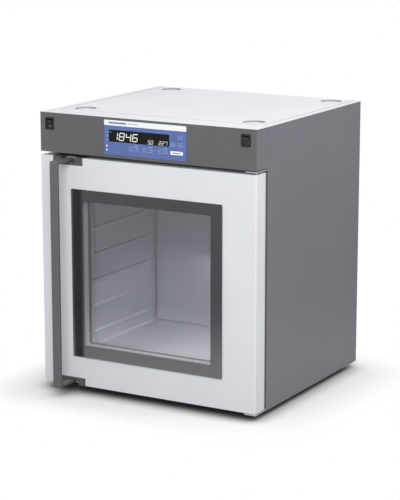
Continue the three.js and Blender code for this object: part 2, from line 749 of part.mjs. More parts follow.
function hingeBush() {
  const centre = [HINGE_X, HINGE_Y, 0];
  const sleeve = bar('z', centre, 8, 680, DOOR_TOP - 0.3, 24);
  const collar = bar('z', centre, 12, 694, DOOR_TOP - SHEET - GAP, 24);
  return sleeve.add(collar).subtract(bar('z', centre, HINGE_PIN_RADIUS + 0.35, 670, 710, 24));
}

function handleBlock() {
  const front = -0.6;
  const block = box(BLOCK[0], BLOCK[1], front, BLOCK_DEPTH, BLOCK_TOP - BLOCK_HEIGHT, BLOCK_TOP);
  const pocket = box(POCKET[0], POCKET[1], -5, BLOCK_DEPTH - 2, POCKET_FLOOR, BLOCK_TOP + 5);
  const lugCavity = box(POCKET[1] - 1, BLOCK[1] - 2.3, 10, 42, POCKET_FLOOR, LUG_CAVITY_TOP);
  const clawExit = box(-290, -250, BLOCK_DEPTH - 5, BLOCK_DEPTH + 5, CLAW_BOTTOM - 1, BLOCK_TOP + 5);
  const pivot = [HANDLE_PIVOT_X, HANDLE_PIVOT_Y, 0];
  const pin = bar('z', pivot, HANDLE_PIN_RADIUS, POCKET_FLOOR - 1, BLOCK_TOP - 0.5, 16);
  return cut(block, [pocket, lugCavity, clawExit]).add(pin);
}

function handleLug() {
  const z0 = HANDLE_TOP - HANDLE_THICKNESS;
  const arm = box(HANDLE_LEFT + HANDLE_WIDTH - 1, HANDLE_PIVOT_X, 16, 32, z0, HANDLE_TOP);
  const eye = bar('z', [HANDLE_PIVOT_X, HANDLE_PIVOT_Y, 0], 8, z0, HANDLE_TOP, 24);
  return arm.add(eye);
}

function doorHandle() {
  const front = -HANDLE_REACH;
  const back = 34;
  const top = HANDLE_TOP;
  const bottom = 2 * DOOR_MIDDLE - HANDLE_TOP;
  const innerBend = HANDLE_THICKNESS + HANDLE_BEND;
  const side = new THREE.Shape();
  side.moveTo(back, bottom);
  side.lineTo(back, bottom + HANDLE_THICKNESS);
  side.absarc(front + innerBend, bottom + innerBend, HANDLE_BEND, 1.5 * Math.PI, Math.PI, true);
  side.absarc(front + innerBend, top - innerBend, HANDLE_BEND, Math.PI, 0.5 * Math.PI, true);
  side.lineTo(back, top - HANDLE_THICKNESS);
  side.lineTo(back, top);
  side.lineTo(front + HANDLE_CORNER, top);
  side.absarc(front + HANDLE_CORNER, top - HANDLE_CORNER, HANDLE_CORNER, 0.5 * Math.PI, Math.PI, false);
  side.absarc(front + HANDLE_CORNER, bottom + HANDLE_CORNER, HANDLE_CORNER, Math.PI, 1.5 * Math.PI, false);
  const bow = prism('x', side, HANDLE_LEFT, HANDLE_LEFT + HANDLE_WIDTH, 6);
  const pivot = [HANDLE_PIVOT_X, HANDLE_PIVOT_Y, 0];
  const holes = bar('z', pivot, HANDLE_PIN_RADIUS + 0.35, 0, HEIGHT, 16);
  return union([bow, handleLug(), mirrorDoor(handleLug())]).subtract(holes);
}

function latchClaw() {
  const eyeRadius = 7;
  const near = HANDLE_PIVOT_Y - eyeRadius;
  const far = HANDLE_PIVOT_Y + eyeRadius;
  const tip = ROLLER_Y + 6;
  const shankRight = CLAW_LEFT + CLAW_SHANK;
  const noseTip = ROLLER_X - ROLLER_RADIUS - 0.6;
  const points = [
    [HANDLE_PIVOT_X, near], [HANDLE_PIVOT_X, far], [shankRight, far], [shankRight, tip - 10],
    [noseTip, tip - 8], [noseTip, tip - 4], [shankRight - 2, tip], [CLAW_LEFT, tip], [CLAW_LEFT, near],
  ];
  const plate = prism('z', outline(points), CLAW_BOTTOM, CLAW_TOP);
  const pivot = [HANDLE_PIVOT_X, HANDLE_PIVOT_Y, 0];
  const eye = bar('z', pivot, eyeRadius, CLAW_BOTTOM, CLAW_TOP, 20);
  const hole = bar('z', pivot, HANDLE_PIN_RADIUS + 0.35, CLAW_BOTTOM - 1, CLAW_TOP + 1, 16);
  return plate.add(eye).subtract(hole);
}

// ---------- put it together ----------

for (const [place, x, y] of [
  ['front_left', -FOOT_X, FOOT_FRONT_Y], ['front_right', FOOT_X, FOOT_FRONT_Y],
  ['back_left', -FOOT_X, FOOT_BACK_Y], ['back_right', FOOT_X, FOOT_BACK_Y],
]) {
  add(`foot_${place}`, footSolid(x, y), 'rubber');
}
add('base_plate', basePlate(), 'zinc');
add('left_side_panel', sidePanel(-1), 'grey');
add('right_side_panel', sidePanel(1), 'grey');
add('top_frame', topFrame(), 'white');
add('top_cover', topCover(), 'white');
add('rear_cover', rearCover(), 'grey');
add('front_frame', frontFrame(), 'steel');
add('electronics_deck', electronicsDeck(), 'zinc');
add('latch_striker_top', latchStriker(), 'steel');
add('latch_striker_bottom', mirrorDoor(latchStriker()), 'steel');
add('hinge_bracket_top', hingeBracket(HINGE_TOP_PLATE, DOOR_TOP - HINGE_PIN_REACH), 'steel');
add('hinge_bracket_bottom', hingeBracket(HINGE_BOTTOM_PLATE, DOOR_BOTTOM + HINGE_PIN_REACH), 'steel');

add('chamber_shell', chamberShell(), 'steel');
add('chamber_left_wall', chamberWall(-1), 'steel');
add('chamber_right_wall', chamberWall(1), 'steel');
add('air_baffle', airBaffle(), 'steel');
add('heater_coil', heaterCoil(), 'steel');
add('temperature_probes', temperatureProbes(), 'steel');
add('fan_wheel', fanWheel(), 'zinc');
add('fan_motor', fanMotor(), 'black');
add('insulation_wrap', insulationWrap(), 'wool');
add('insulation_back', insulationBack(), 'wool');
add('exhaust_pipe', exhaustPipe(), 'steel');
add('vent_damper', ventDamper(), 'zinc');

add('head_shell', headShell(), 'grey');
add('control_foil', controlFoil(), 'blue');
add('display_window', displayWindow(), 'black');
for (const key of KEYS) {
  add(key[0], controlKey(key), 'blue');
}
add('display_board', displayBoard(), 'board');
add('power_board', powerBoard(), 'board');
add('left_switch_bezel', switchBezel(-SWITCH_X, 1), 'black');
add('right_switch_bezel', switchBezel(SWITCH_X, 4), 'black');
add('left_rocker', rocker(-SWITCH_X), 'black');
add('right_rocker', rocker(SWITCH_X), 'black');
add('mains_inlet', mainsInlet(), 'black');

add('door_outer_skin', doorOuterSkin(), 'white');
add('door_inner_skin', doorInnerSkin(), 'steel');
add('door_insulation', doorInsulation(), 'wool');
add('outer_pane', windowPane(CLEAR_WIDTH + 24, CLEAR_HEIGHT + 24, OUTER_PANE_Y), 'glass');
add('window_border', windowBorder(), 'border');
add('window_tunnel', windowRing(TUNNEL_WALL, TUNNEL_Y, SEAL_Y - GAP), 'whiteMetal');
add('pane_seal', paneSeal(), 'rubber');
add('inner_pane', windowPane(CLEAR_WIDTH + 12, CLEAR_HEIGHT + 12, INNER_PANE_Y), 'glass');
add('door_seal', doorSeal(), 'rubber');
add('hinge_bush_top', hingeBush(), 'black');
add('hinge_bush_bottom', mirrorDoor(hingeBush()), 'black');
add('handle_block_top', handleBlock(), 'darkGrey');
add('handle_block_bottom', mirrorDoor(handleBlock()), 'darkGrey');
add('door_handle', doorHandle(), 'grey');
add('latch_claw_top', latchClaw(), 'steel');
add('latch_claw_bottom', mirrorDoor(latchClaw()), 'steel');

export default incubator;
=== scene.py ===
import functools
import math
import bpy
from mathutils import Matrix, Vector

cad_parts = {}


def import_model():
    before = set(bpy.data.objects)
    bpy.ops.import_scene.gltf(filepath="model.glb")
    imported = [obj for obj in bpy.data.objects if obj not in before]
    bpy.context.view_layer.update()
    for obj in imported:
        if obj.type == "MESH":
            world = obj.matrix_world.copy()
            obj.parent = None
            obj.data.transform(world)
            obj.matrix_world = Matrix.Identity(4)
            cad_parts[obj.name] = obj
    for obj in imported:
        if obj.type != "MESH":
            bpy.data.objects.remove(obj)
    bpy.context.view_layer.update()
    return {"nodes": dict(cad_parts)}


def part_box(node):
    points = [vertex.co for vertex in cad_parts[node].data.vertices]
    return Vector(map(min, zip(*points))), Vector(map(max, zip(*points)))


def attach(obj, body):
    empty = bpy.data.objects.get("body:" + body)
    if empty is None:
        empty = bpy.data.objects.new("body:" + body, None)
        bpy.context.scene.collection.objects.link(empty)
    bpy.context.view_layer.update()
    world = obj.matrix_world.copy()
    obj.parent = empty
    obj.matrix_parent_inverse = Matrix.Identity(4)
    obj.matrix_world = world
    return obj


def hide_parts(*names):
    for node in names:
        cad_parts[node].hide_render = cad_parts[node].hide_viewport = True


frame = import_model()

from types import SimpleNamespace

import bmesh
import bpy
from mathutils import Matrix, Vector
from mathutils.geometry import tessellate_polygon

# Looks of a bench-top laboratory incubator: metres, +Z up, the front faces -Y.

MM = 0.001
CABINET = "cabinet"
DOOR = "door"
HANDLE = "handle"
WHITE = (1, 1, 1, 1)

# Sizes that the pieces share with the CAD parts
THIN_SHEETS = ("control_foil", "front_frame")
HALF_WIDTH = 0.355
HALF_DEPTH = 0.316
SHEET = 1.5 * MM
LINER = 1.2 * MM
GAP = 0.4 * MM
SEAL_BORDER = 9 * MM
SWITCH_X = 321.5 * MM
SWITCH_Z = 795 * MM
ROCKER_AXIS_Y = -311 * MM
ROCKER_TILT = math.radians(10)
HANDLE_PIVOT = (-224 * MM, -292 * MM)
HANDLE_THICKNESS = 9 * MM
HANDLE_BEND = 4 * MM
HANDLE_CORNER = 5 * MM
HANDLE_WIDTH = 26.5 * MM
PIPE_RADIUS = 25 * MM
PROBE_PLACES = [(-238 * MM, 398 * MM), (-233 * MM, 313 * MM)]

# The ridges that carry the shelves
RIDGE_COUNT = 6
RIDGE_FIRST = 40 * MM
RIDGE_PITCH = 80.25 * MM
RIDGE_HEIGHT = 4 * MM
RIDGE_HALF = 7 * MM
RIDGE_TAPER = 12 * MM

# How far a cutting tool reaches past a surface, and the angles of a hard edge and of a flat one
PAST = 10 * MM
HARD_EDGE = math.radians(32)
FLAT_EDGE = 0.002

# Camera: a long lens, to the right of the front and a little above the top
CAMERA_PLACE = (2.6558, -4.6555, 1.5736)
CAMERA_TILT = 77.60
CAMERA_TURN = 29.73
CAMERA_LENS = 132.0

LOWER_KEYS = ["key_lower_left", "key_lower_middle", "key_lower_right"]
SIDE_KEYS = ["key_side_top", "key_side_left", "key_side_right"]
KEYS = LOWER_KEYS + SIDE_KEYS


# ---------- boxes of the frame ----------

def extent(node):
    """The box of a CAD node, with its sides, middle and sizes by name."""
    low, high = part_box(node)
    middle = (low + high) / 2
    size = high - low
    return SimpleNamespace(
        x0=low.x, x1=high.x, y0=low.y, y1=high.y, z0=low.z, z1=high.z,
        cx=middle.x, cy=middle.y, cz=middle.z, w=size.x, h=size.z,
    )


def grown(box, out):
    """A box's upright sides, moved outwards."""
    return SimpleNamespace(x0=box.x0 - out, x1=box.x1 + out, z0=box.z0 - out, z1=box.z1 + out)


# ---------- shader helpers ----------

def linear(red, green, blue):
    """A colour given as 0 to 255 screen values, as scene values."""
    def channel(value):
        share = value / 255
        return share / 12.92 if share <= 0.04045 else ((share + 0.055) / 1.055) ** 2.4
    return (channel(red), channel(green), channel(blue), 1)


def found(tree, kind):
    return next(node for node in tree.nodes if node.type == kind)


def feed(tree, node, inputs):
    """Sets a node's inputs, each one to a value or to the socket that feeds it."""
    for name, value in inputs.items():
        if isinstance(value, bpy.types.NodeSocket):
            tree.links.new(value, node.inputs[name])
        else:
            node.inputs[name].default_value = value


def added(tree, kind, inputs=(), **settings):
    """A new shader node with its settings and inputs."""
    node = tree.nodes.new(f"ShaderNode{kind}")
    for name, value in settings.items():
        setattr(node, name, value)
    feed(tree, node, dict(inputs))
    return node


def start_material(name):
    material = bpy.data.materials.new(name)
    material.use_nodes = True
    tree = material.node_tree
    return material, tree, found(tree, "BSDF_PRINCIPLED")


def coordinates(tree, stretch=(1, 1, 1)):
    """Object coordinates, stretched along an axis for a brushed or fibrous look."""
    source = added(tree, "TexCoord").outputs["Object"]
    return added(tree, "Mapping", {"Vector": source, "Scale": stretch}).outputs["Vector"]


def noise(tree, scale, detail=3, stretch=(1, 1, 1)):
    inputs = {"Vector": coordinates(tree, stretch), "Scale": scale, "Detail": detail}
    return added(tree, "TexNoise", inputs).outputs["Fac"]


def colour_between(tree, factor, first, second, low=0.3, high=0.7):
    ramp = added(tree, "ValToRGB", {"Fac": factor})
    for element, position, colour in zip(ramp.color_ramp.elements, (low, high), (first, second)):
        element.position = position
        element.color = colour
    return ramp.outputs["Color"]


def mapped(tree, value, from_low, from_high, to_low=0, to_high=1, **settings):
    inputs = {"Value": value, "From Min": from_low, "From Max": from_high,
              "To Min": to_low, "To Max": to_high}
    return added(tree, "MapRange", inputs, **settings).outputs["Result"]


def value_between(tree, factor, low, high):
    return mapped(tree, factor, 0.3, 0.7, low, high)


def mixed(tree, factor, first, second):
    """Two shaders mixed: all of the first at 0, all of the second at 1."""
    return added(tree, "MixShader", {0: factor, 1: first, 2: second}).outputs["Shader"]


def show(tree, shader):
    feed(tree, found(tree, "OUTPUT_MATERIAL"), {"Surface": shader})


def bumped(tree, shader, height, strength, distance):
    bump = added(tree, "Bump", {"Height": height, "Strength": strength, "Distance": distance})
    feed(tree, shader, {"Normal": bump.outputs["Normal"]})


def surface(name, first, second, roughness, scale, grain=None, depth=0.0002, stretch=(1, 1, 1),
            inputs=()):
    """A finish whose colour and roughness drift, with a fine grain of a scale and strength."""
    material, tree, shader = start_material(name)
    drift = noise(tree, scale, 4, stretch)
    feed(tree, shader, {
        "Base Color": colour_between(tree, drift, linear(*first), linear(*second)),
        "Roughness": value_between(tree, drift, *roughness), **dict(inputs),
    })
    if grain:
        grain_scale, strength = grain
        bumped(tree, shader, noise(tree, grain_scale, 2, stretch), strength, depth)
    return material


# ---------- finishes ----------

def white_paint():
    return surface("white_powder_coat", (215, 217, 222), (219, 221, 226), (0.42, 0.5),
                   scale=5, grain=(900, 0.12), inputs={"Specular IOR Level": 0.45})


def grey_paint():
    return surface(
        "grey_powder_coat", (111, 109, 117), (115, 113, 121), (0.4, 0.5), scale=5, grain=(900, 0.15))


# The handle's own dark grey. On the control head's front it is painted shade: a darker copy of the grey
# paint on the head's sides.
def dark_grey_and_shaded_front_paint():
    return surface(
        "dark_grey_powder_coat_and_painted_front_shade", (91, 92, 93), (95, 96, 97), (0.42, 0.52), scale=5, grain=(900, 0.15))


def pad_grey():
    return surface(
        "grey_pad", (136, 136, 139), (144, 144, 147), (0.5, 0.6), scale=40, grain=(1200, 0.15))


def zinc_sheet():
    """Galvanised sheet, with its flat crystals."""
    material, tree, shader = start_material("galvanised_sheet")
    cells = added(tree, "TexVoronoi", {"Vector": coordinates(tree), "Scale": 90})
    split = added(tree, "SeparateColor", {"Color": cells.outputs["Color"]})
    crystal = split.outputs["Red"]
    feed(tree, shader, {
        "Base Color": colour_between(tree, crystal, linear(160, 162, 166), linear(184, 187, 191), 0, 1),
        "Roughness": value_between(tree, crystal, 0.36, 0.5),
        "Metallic": 0.9,
    })
    bumped(tree, shader, noise(tree, 400), 0.1, 0.0002)
    return material


def stainless():
    """Brushed stainless steel, with the brush marks running from front to back."""
    return surface("brushed_stainless", (188, 189, 194), (206, 207, 211), (0.46, 0.58),
                   scale=60, grain=(500, 0.06), depth=0.0001, stretch=(12, 0.4, 12),
                   inputs={"Metallic": 1.0})


def black_plastic():
    return surface(
        "black_moulded_plastic", (28, 28, 30), (34, 34, 36), (0.38, 0.5), scale=40, grain=(1500, 0.25))


def charcoal_plastic():
    return surface("charcoal_moulded_plastic", (38, 38, 40), (43, 43, 45), (0.4, 0.52),
                   scale=40, grain=(1500, 0.25))


def grey_plastic():
    return surface(
        "grey_moulded_plastic", (78, 78, 81), (84, 84, 87), (0.42, 0.52), scale=20, grain=(1400, 0.2))


def foil():
    return surface("blue_panel_foil", (86, 106, 164), (92, 112, 170), (0.34, 0.42),
                   scale=30, grain=(1800, 0.15), depth=0.0001)


def display_glass():
    return surface("black_display_filter", (4, 4, 5), (7, 7, 8), (0.1, 0.16), scale=20)


def clear_glass():
    """Thin clear glass: it lets light through, and its outer faces reflect more at a slant."""
    material, tree, shader = start_material("window_glass")
    tree.nodes.remove(shader)
    tint = colour_between(tree, noise(tree, 3), (0.945, 0.945, 0.962, 1), (0.955, 0.956, 0.97, 1))
    clear = added(tree, "BsdfTransparent", {"Color": tint})
    polish = value_between(tree, noise(tree, 12), 0.0, 0.05)
    gloss = added(tree, "BsdfAnisotropic", {"Color": WHITE, "Roughness": polish})
    slant = added(tree, "Fresnel", {"IOR": 2.4}).outputs["Fac"]
    inner = added(tree, "NewGeometry").outputs["Backfacing"]
    outer = added(tree, "Math", {0: 1, 1: inner}, operation="SUBTRACT").outputs["Value"]
    share = added(tree, "Math", {0: slant, 1: outer}, operation="MULTIPLY").outputs["Value"]
    show(tree, mixed(tree, share, clear.outputs["BSDF"], gloss.outputs["BSDF"]))
    return material


def dark_border():
    """Black anodised and polished, with a clear lacquer over it."""
    return surface("black_window_frame", (38, 38, 42), (42, 42, 46), (0.1, 0.16), scale=15,
                   inputs={"IOR": 2.0, "Coat Weight": 1.0, "Coat Roughness": 0.06})


def silicone():
    return surface(
        "grey_silicone", (70, 70, 74), (78, 78, 82), (0.55, 0.65), scale=30, grain=(700, 0.15))


def foot_rubber():
    return surface("black_rubber", (36, 36, 38), (44, 44, 46), (0.7, 0.82),
                   scale=60, grain=(1200, 0.35), depth=0.0003)


def mineral_wool():
    return surface("mineral_wool", (104, 100, 92), (126, 122, 112), (0.9, 1.0),
                   scale=25, grain=(160, 0.8), depth=0.003, stretch=(1, 1, 4))


def circuit_board():
    """Green solder mask with the traces showing through."""
    material, tree, shader = start_material("circuit_board")
    traces = added(tree, "TexBrick", {
        "Vector": coordinates(tree), "Scale": 60, "Mortar Size": 0.04,
        "Color1": linear(30, 86, 52), "Color2": linear(26, 78, 46), "Mortar": linear(74, 128, 84),
    })
    roughness = value_between(tree, noise(tree, 80), 0.3, 0.45)
    feed(tree, shader, {"Base Color": traces.outputs["Color"], "Roughness": roughness})
    bumped(tree, shader, traces.outputs["Fac"], 0.3, 0.0001)
    return material


def white_metal_frame():
    return surface(
        "satin_white_metal", (160, 161, 165), (168, 169, 173), (0.35, 0.45), scale=10, grain=(900, 0.1))


def white_print():
    return surface("white_print", (232, 234, 238), (240, 242, 245), (0.4, 0.5), scale=60)


def blue_print():
    return surface("blue_print", (74, 94, 160), (84, 104, 168), (0.4, 0.5), scale=60)


def grey_print():
    return surface("grey_print", (176, 184, 206), (186, 194, 214), (0.4, 0.5), scale=60)


def lit(name, colour, strength):
    """A glowing segment, a little uneven over its face."""
    material = surface(name, colour, colour, (0.4, 0.5), scale=200)
    tree = material.node_tree
    glow = value_between(tree, noise(tree, 300), strength * 0.92, strength)
    inputs = {"Emission Color": linear(*colour), "Emission Strength": glow}
    feed(tree, found(tree, "BSDF_PRINCIPLED"), inputs)
    return material


def white_digits():
    return lit("white_digits", (236, 236, 234), 0.2)


def green_light():
    return lit("green_light", (20, 190, 40), 0.6)


def screw_steel():
    return surface("zinc_plated_screw", (176, 178, 180), (200, 202, 204), (0.28, 0.4),
                   scale=200, grain=(2500, 0.1), depth=0.0001, inputs={"Metallic": 1.0})


def nickel_pin():
    return surface("nickel_pin", (190, 184, 168), (206, 200, 184), (0.25, 0.35),
                   scale=200, inputs={"Metallic": 1.0})


# The finish of each CAD slot, which has the same name
SLOT_FINISHES = {maker.__name__: maker for maker in (
    white_paint, grey_paint, zinc_sheet, stainless, black_plastic, grey_plastic, foil, display_glass,
    clear_glass, dark_border, silicone, foot_rubber, mineral_wool, circuit_board, white_metal_frame,
)}


@functools.cache
def finish(maker):
    """The material that a finish function makes, made once."""
    return maker()


# ---------- mesh helpers ----------

def arc(u, v, radius, start, end, steps=8):
    angles = [math.radians(start + (end - start) * step / steps) for step in range(steps + 1)]
    return [(u + radius * math.cos(a), v + radius * math.sin(a)) for a in angles]


def circle(u, v, radius, steps=64):
    return arc(u, v, radius, 0, 360, steps)[:-1]


def rounded(u0, u1, v0, v1, radius, steps=8):
    """A rectangle's outline with round corners, anticlockwise."""
    return [
        *arc(u1 - radius, v0 + radius, radius, -90, 0, steps),
        *arc(u1 - radius, v1 - radius, radius, 0, 90, steps),
        *arc(u0 + radius, v1 - radius, radius, 90, 180, steps),
        *arc(u0 + radius, v0 + radius, radius, 180, 270, steps),
    ]


def rounded_box(box, radius, steps=8):
    """The outline of a box seen from the front, with round corners."""
    return rounded(box.x0, box.x1, box.z0, box.z1, radius, steps)


def pill(u, v, width, height, radius, steps=8):
    """A rectangle with round corners, about its middle."""
    return rounded(u - width / 2, u + width / 2, v - height / 2, v + height / 2, radius, steps)


def rectangle(u0, u1, v0, v1):
    return [(u0, v0), (u1, v0), (u1, v1), (u0, v1)]


def upright(axis, u, v, w):
    """The point at (u, v) of a drawing whose normal is the axis, at the place w along it."""
    return {"x": (w, u, v), "y": (u, w, v), "z": (u, v, w)}[axis]


def prism_mesh(axis, loops, low, high):
    """A closed plate from an outline and the outlines of its holes."""
    mesh = bmesh.new()
    flat = [[Vector((u, v, 0)) for u, v in loop] for loop in loops]
    triangles = tessellate_polygon(flat)
    layers = []
    for level in (low, high):
        layers.append([mesh.verts.new(upright(axis, u, v, level)) for loop in loops for u, v in loop])
    for layer in layers:
        for triangle in triangles:
            mesh.faces.new([layer[index] for index in triangle])
    first = 0
    for loop in loops:
        count = len(loop)
        for index in range(count):
            a = first + index
            b = first + (index + 1) % count
            mesh.faces.new([layers[0][a], layers[0][b], layers[1][b], layers[1][a]])
        first += count
    bmesh.ops.recalc_face_normals(mesh, faces=mesh.faces)
    bmesh.ops.dissolve_limit(mesh, angle_limit=FLAT_EDGE, verts=mesh.verts, edges=mesh.edges)
    return mesh


def ring_mesh(rows):
    """A closed ring from loops of points, with the last loop joined to the first."""
    mesh = bmesh.new()
    loops = [[mesh.verts.new(point) for point in row] for row in rows]
    count = len(loops[0])
    for near, far in zip(loops, loops[1:] + loops[:1]):
        for index in range(count):
            following = (index + 1) % count
            mesh.faces.new([near[index], near[following], far[following], far[index]])
    bmesh.ops.recalc_face_normals(mesh, faces=mesh.faces)
    return mesh


def put_in_scene(name, data):
    made = bpy.data.objects.new(name, data)
    bpy.context.scene.collection.objects.link(made)
    return made


def object_from(mesh, name):
    data = bpy.data.meshes.new(name)
    mesh.to_mesh(data)
    mesh.free()
    return put_in_scene(name, data)


def prism(name, axis, loops, low, high):
    return object_from(prism_mesh(axis, loops, low, high), name)


def block(name, x0, x1, y0, y1, z0, z1):
    return prism(name, "y", [rectangle(x0, x1, z0, z1)], y0, y1)


def lathe(name, centre, profile, steps):
    """A closed solid turned about Z. The profile runs from axis to axis as (radius, height)."""
    mesh = bmesh.new()
    rings = []
    for radius, height in profile:
        ring = []
        for index in range(steps if radius else 1):
            angle = 2 * math.pi * index / steps
            point = Vector((radius * math.cos(angle), radius * math.sin(angle), height))
            ring.append(mesh.verts.new(point + Vector(centre)))
        rings.append(ring)
    for lower, upper in zip(rings, rings[1:]):
        for index in range(steps):
            following = (index + 1) % steps
            corners = [lower[index % len(lower)], lower[following % len(lower)],
                       upper[following % len(upper)], upper[index % len(upper)]]
            mesh.faces.new(list(dict.fromkeys(corners)))
    bmesh.ops.recalc_face_normals(mesh, faces=mesh.faces)
    return object_from(mesh, name)


def combine(target, tools, operation):
    """Joins the tools to the target or cuts them out of it, and removes them."""
    for tool in tools:
        step = target.modifiers.new("combine", "BOOLEAN")
        step.operation = operation
        step.solver = "EXACT"
        step.object = tool
    graph = bpy.context.evaluated_depsgraph_get()
    result = bpy.data.meshes.new_from_object(target.evaluated_get(graph))
    target.modifiers.clear()
    target.data = result
    for tool in tools:
        bpy.data.objects.remove(tool)
    cleaned = bmesh.new()
    cleaned.from_mesh(result)
    bmesh.ops.remove_doubles(cleaned, verts=cleaned.verts, dist=1e-6)
    bmesh.ops.dissolve_limit(cleaned, angle_limit=FLAT_EDGE, verts=cleaned.verts, edges=cleaned.edges)
    cleaned.to_mesh(result)
    cleaned.free()
    return target


def carve(target, *tools):
    return combine(target, tools, "DIFFERENCE")


def weld(target, *tools):
    return combine(target, tools, "UNION")


def round_edges(piece, width, segments=3):
    """Breaks the hard edges of a piece, as a folded, moulded or ground edge is broken."""
    if width:
        edge = piece.modifiers.new("edges", "BEVEL")
        edge.width = width
        edge.segments = segments
        edge.limit_method = "ANGLE"
        edge.angle_limit = HARD_EDGE
        edge.harden_normals = True
        edge.miter_outer = "MITER_ARC"


def dress(data, maker):
    """Gives a mesh smooth faces between its hard edges, and one finish."""
    for face in data.polygons:
        face.use_smooth = True
    data.set_sharp_from_angle(angle=HARD_EDGE)
    data.materials.clear()
    data.materials.append(finish(maker))


def finished(piece, maker, node=None, edge=0.4 * MM, segments=3, body=CABINET):
    """Gives a piece its finish, soft edges, body and slot, and hides the CAD node that it replaces."""
    dress(piece.data, maker)
    round_edges(piece, edge, segments)
    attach(piece, body)
    if node:
        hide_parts(node)


# ---------- CAD nodes that stay ----------

def clean_up_group():
    """Geometry nodes that drop imported normals, join split corners and smooth the faces."""
    group = bpy.data.node_groups.new("join_corners", "GeometryNodeTree")
    for way in ("INPUT", "OUTPUT"):
        group.interface.new_socket("Geometry", in_out=way, socket_type="NodeSocketGeometry")
    previous = group.nodes.new("NodeGroupInput")
    drop = group.nodes.new("GeometryNodeRemoveAttribute")
    drop.inputs["Name"].default_value = "custom_normal"
    merge = group.nodes.new("GeometryNodeMergeByDistance")
    merge.inputs["Distance"].default_value = 2e-6
    smooth = group.nodes.new("GeometryNodeSetShadeSmooth")
    for node in (drop, merge, smooth, group.nodes.new("NodeGroupOutput")):
        group.links.new(previous.outputs["Geometry"], node.inputs["Geometry"])
        previous = node
    return group


def keep_node(name, group):
    """A CAD node that is shown. Its flat faces are merged and its hard edges broken, except on
    the thin sheets with holes, which stay as they are."""
    node = frame["nodes"][name]
    slot = node.data.materials[0].name
    node.data.materials[0] = finish(SLOT_FINISHES[slot])
    if name in THIN_SHEETS:
        return
    join = node.modifiers.new("join_corners", "NODES")
    join.node_group = group
    flatten = node.modifiers.new("flatten", "DECIMATE")
    flatten.decimate_type = "DISSOLVE"
    flatten.angle_limit = math.radians(0.3)
    round_edges(node, 0.4 * MM, 2)


# ---------- door ----------

def window_clear():
    """The see-through part of the window."""
    return grown(extent("pane_seal"), -SEAL_BORDER)


def skin_outline(box, radius):
    """A folded sheet seen from above: round front corners, open to the back."""
    return [
        (box.x1, box.y1), (box.x0, box.y1),
        *arc(box.x0 + radius, box.y0 + radius, radius, 180, 270, 10),
        *arc(box.x1 - radius, box.y0 + radius, radius, 270, 360, 10),
    ]


def folded_sheet(name, box, corner, inner_corner, top, inner_top):
    """A solid with the outline of a folded sheet, and the tool that hollows it from behind."""
    solid = prism(name, "z", [skin_outline(box, corner)], box.z0, top)
    inside = SimpleNamespace(x0=box.x0 + SHEET, x1=box.x1 - SHEET,
                             y0=box.y0 + SHEET, y1=box.y1 + 2 * PAST)
    hollow = prism("hollow", "z", [skin_outline(inside, inner_corner)], box.z0 + SHEET, inner_top)
    return solid, hollow


def door_outer_skin():
    """The door's skin, cut out for the window, the corner blocks and the hinge bushes."""
    box = extent("door_outer_skin")
    corner = 5 * MM
    behind_frame = 4 * MM
    bore = 8.5 * MM
    over = 3 * MM
    skin, hollow = folded_sheet("door_skin", box, corner, corner - SHEET, box.z1, box.z1 - SHEET)
    edge = rounded_box(grown(window_clear(), behind_frame), 6 * MM)
    tools = [hollow, prism("opening", "y", [edge], box.y0 - PAST, box.y0 + PAST)]
    for side, below, above in (("top", GAP, over), ("bottom", over, GAP)):
        part = extent(f"handle_block_{side}")
        tools.append(block("notch", part.x0 - GAP, part.x1 + GAP, box.y0 - PAST, box.y1 + PAST,
                           part.z0 - below, part.z1 + above))
    for side in ("top", "bottom"):
        part = extent(f"hinge_bush_{side}")
        tools.append(prism("bore", "z", [circle(part.cx, part.cy, bore, 48)],
                           part.z0 - 3 * PAST, part.z1 + 3 * PAST))
    carve(skin, *tools)
    finished(skin, white_paint, "door_outer_skin", 0.5 * MM, body=DOOR)


def door_seal():
    """The gasket: a flat strip with a round bulb, swept round the door."""
    box = extent("door_seal")
    width = 15 * MM
    corner = 22 * MM
    deep = box.y1 - box.y0
    strip = box.y0 + 0.3 * deep
    section = [
        (0, box.y0), (width, box.y0), (width, strip),
        *arc(width / 2, box.y0 + 0.62 * deep, 0.38 * deep, -20, 200, 14), (0, strip),
    ]
    rows = []
    for out, depth in section:
        rows.append([(u, depth, v) for u, v in rounded_box(grown(box, -out), corner - out, 10)])
    gasket = object_from(ring_mesh(rows), "door_gasket")
    finished(gasket, silicone, "door_seal", 0, body=DOOR)


def handle_outline(box):
    """The bow of the handle from the side: a flat bar bent twice, tightly."""
    thickness = HANDLE_THICKNESS
    bend = HANDLE_BEND
    corner = HANDLE_CORNER
    inner = thickness + bend
    return [
        (box.y1, box.z0), (box.y1, box.z0 + thickness),
        *reversed(arc(box.y0 + inner, box.z0 + inner, bend, 180, 270, 12)),
        *reversed(arc(box.y0 + inner, box.z1 - inner, bend, 90, 180, 12)),
        (box.y1, box.z1 - thickness), (box.y1, box.z1),
        *arc(box.y0 + corner, box.z1 - corner, corner, 90, 180, 12),
        *arc(box.y0 + corner, box.z0 + corner, corner, 180, 270, 12),
    ]


def door_handle():
    """The handle's bow, with the two lugs that reach sideways to its pivots."""
    box = extent("door_handle")
    x, y = HANDLE_PIVOT
    inside = box.x0 + HANDLE_WIDTH
    eye = 8 * MM
    bow = prism("door_handle_bow", "x", [handle_outline(box)], box.x0, inside)
    lug = [
        (inside - MM, y - eye), (x, y - eye), *arc(x, y, eye, -90, 90, 16)[1:-1],
        (x, y + eye), (inside - MM, y + eye),
    ]
    lugs = []
    for low in (box.z0, box.z1 - HANDLE_THICKNESS):
        lugs.append(prism("lug", "z", [lug], low, low + HANDLE_THICKNESS))
    weld(bow, *lugs)
    carve(bow, prism("hole", "z", [circle(x, y, 3.35 * MM, 32)], box.z0 - PAST, box.z1 + PAST))
    finished(bow, dark_grey_and_shaded_front_paint, "door_handle", MM, 4, HANDLE)


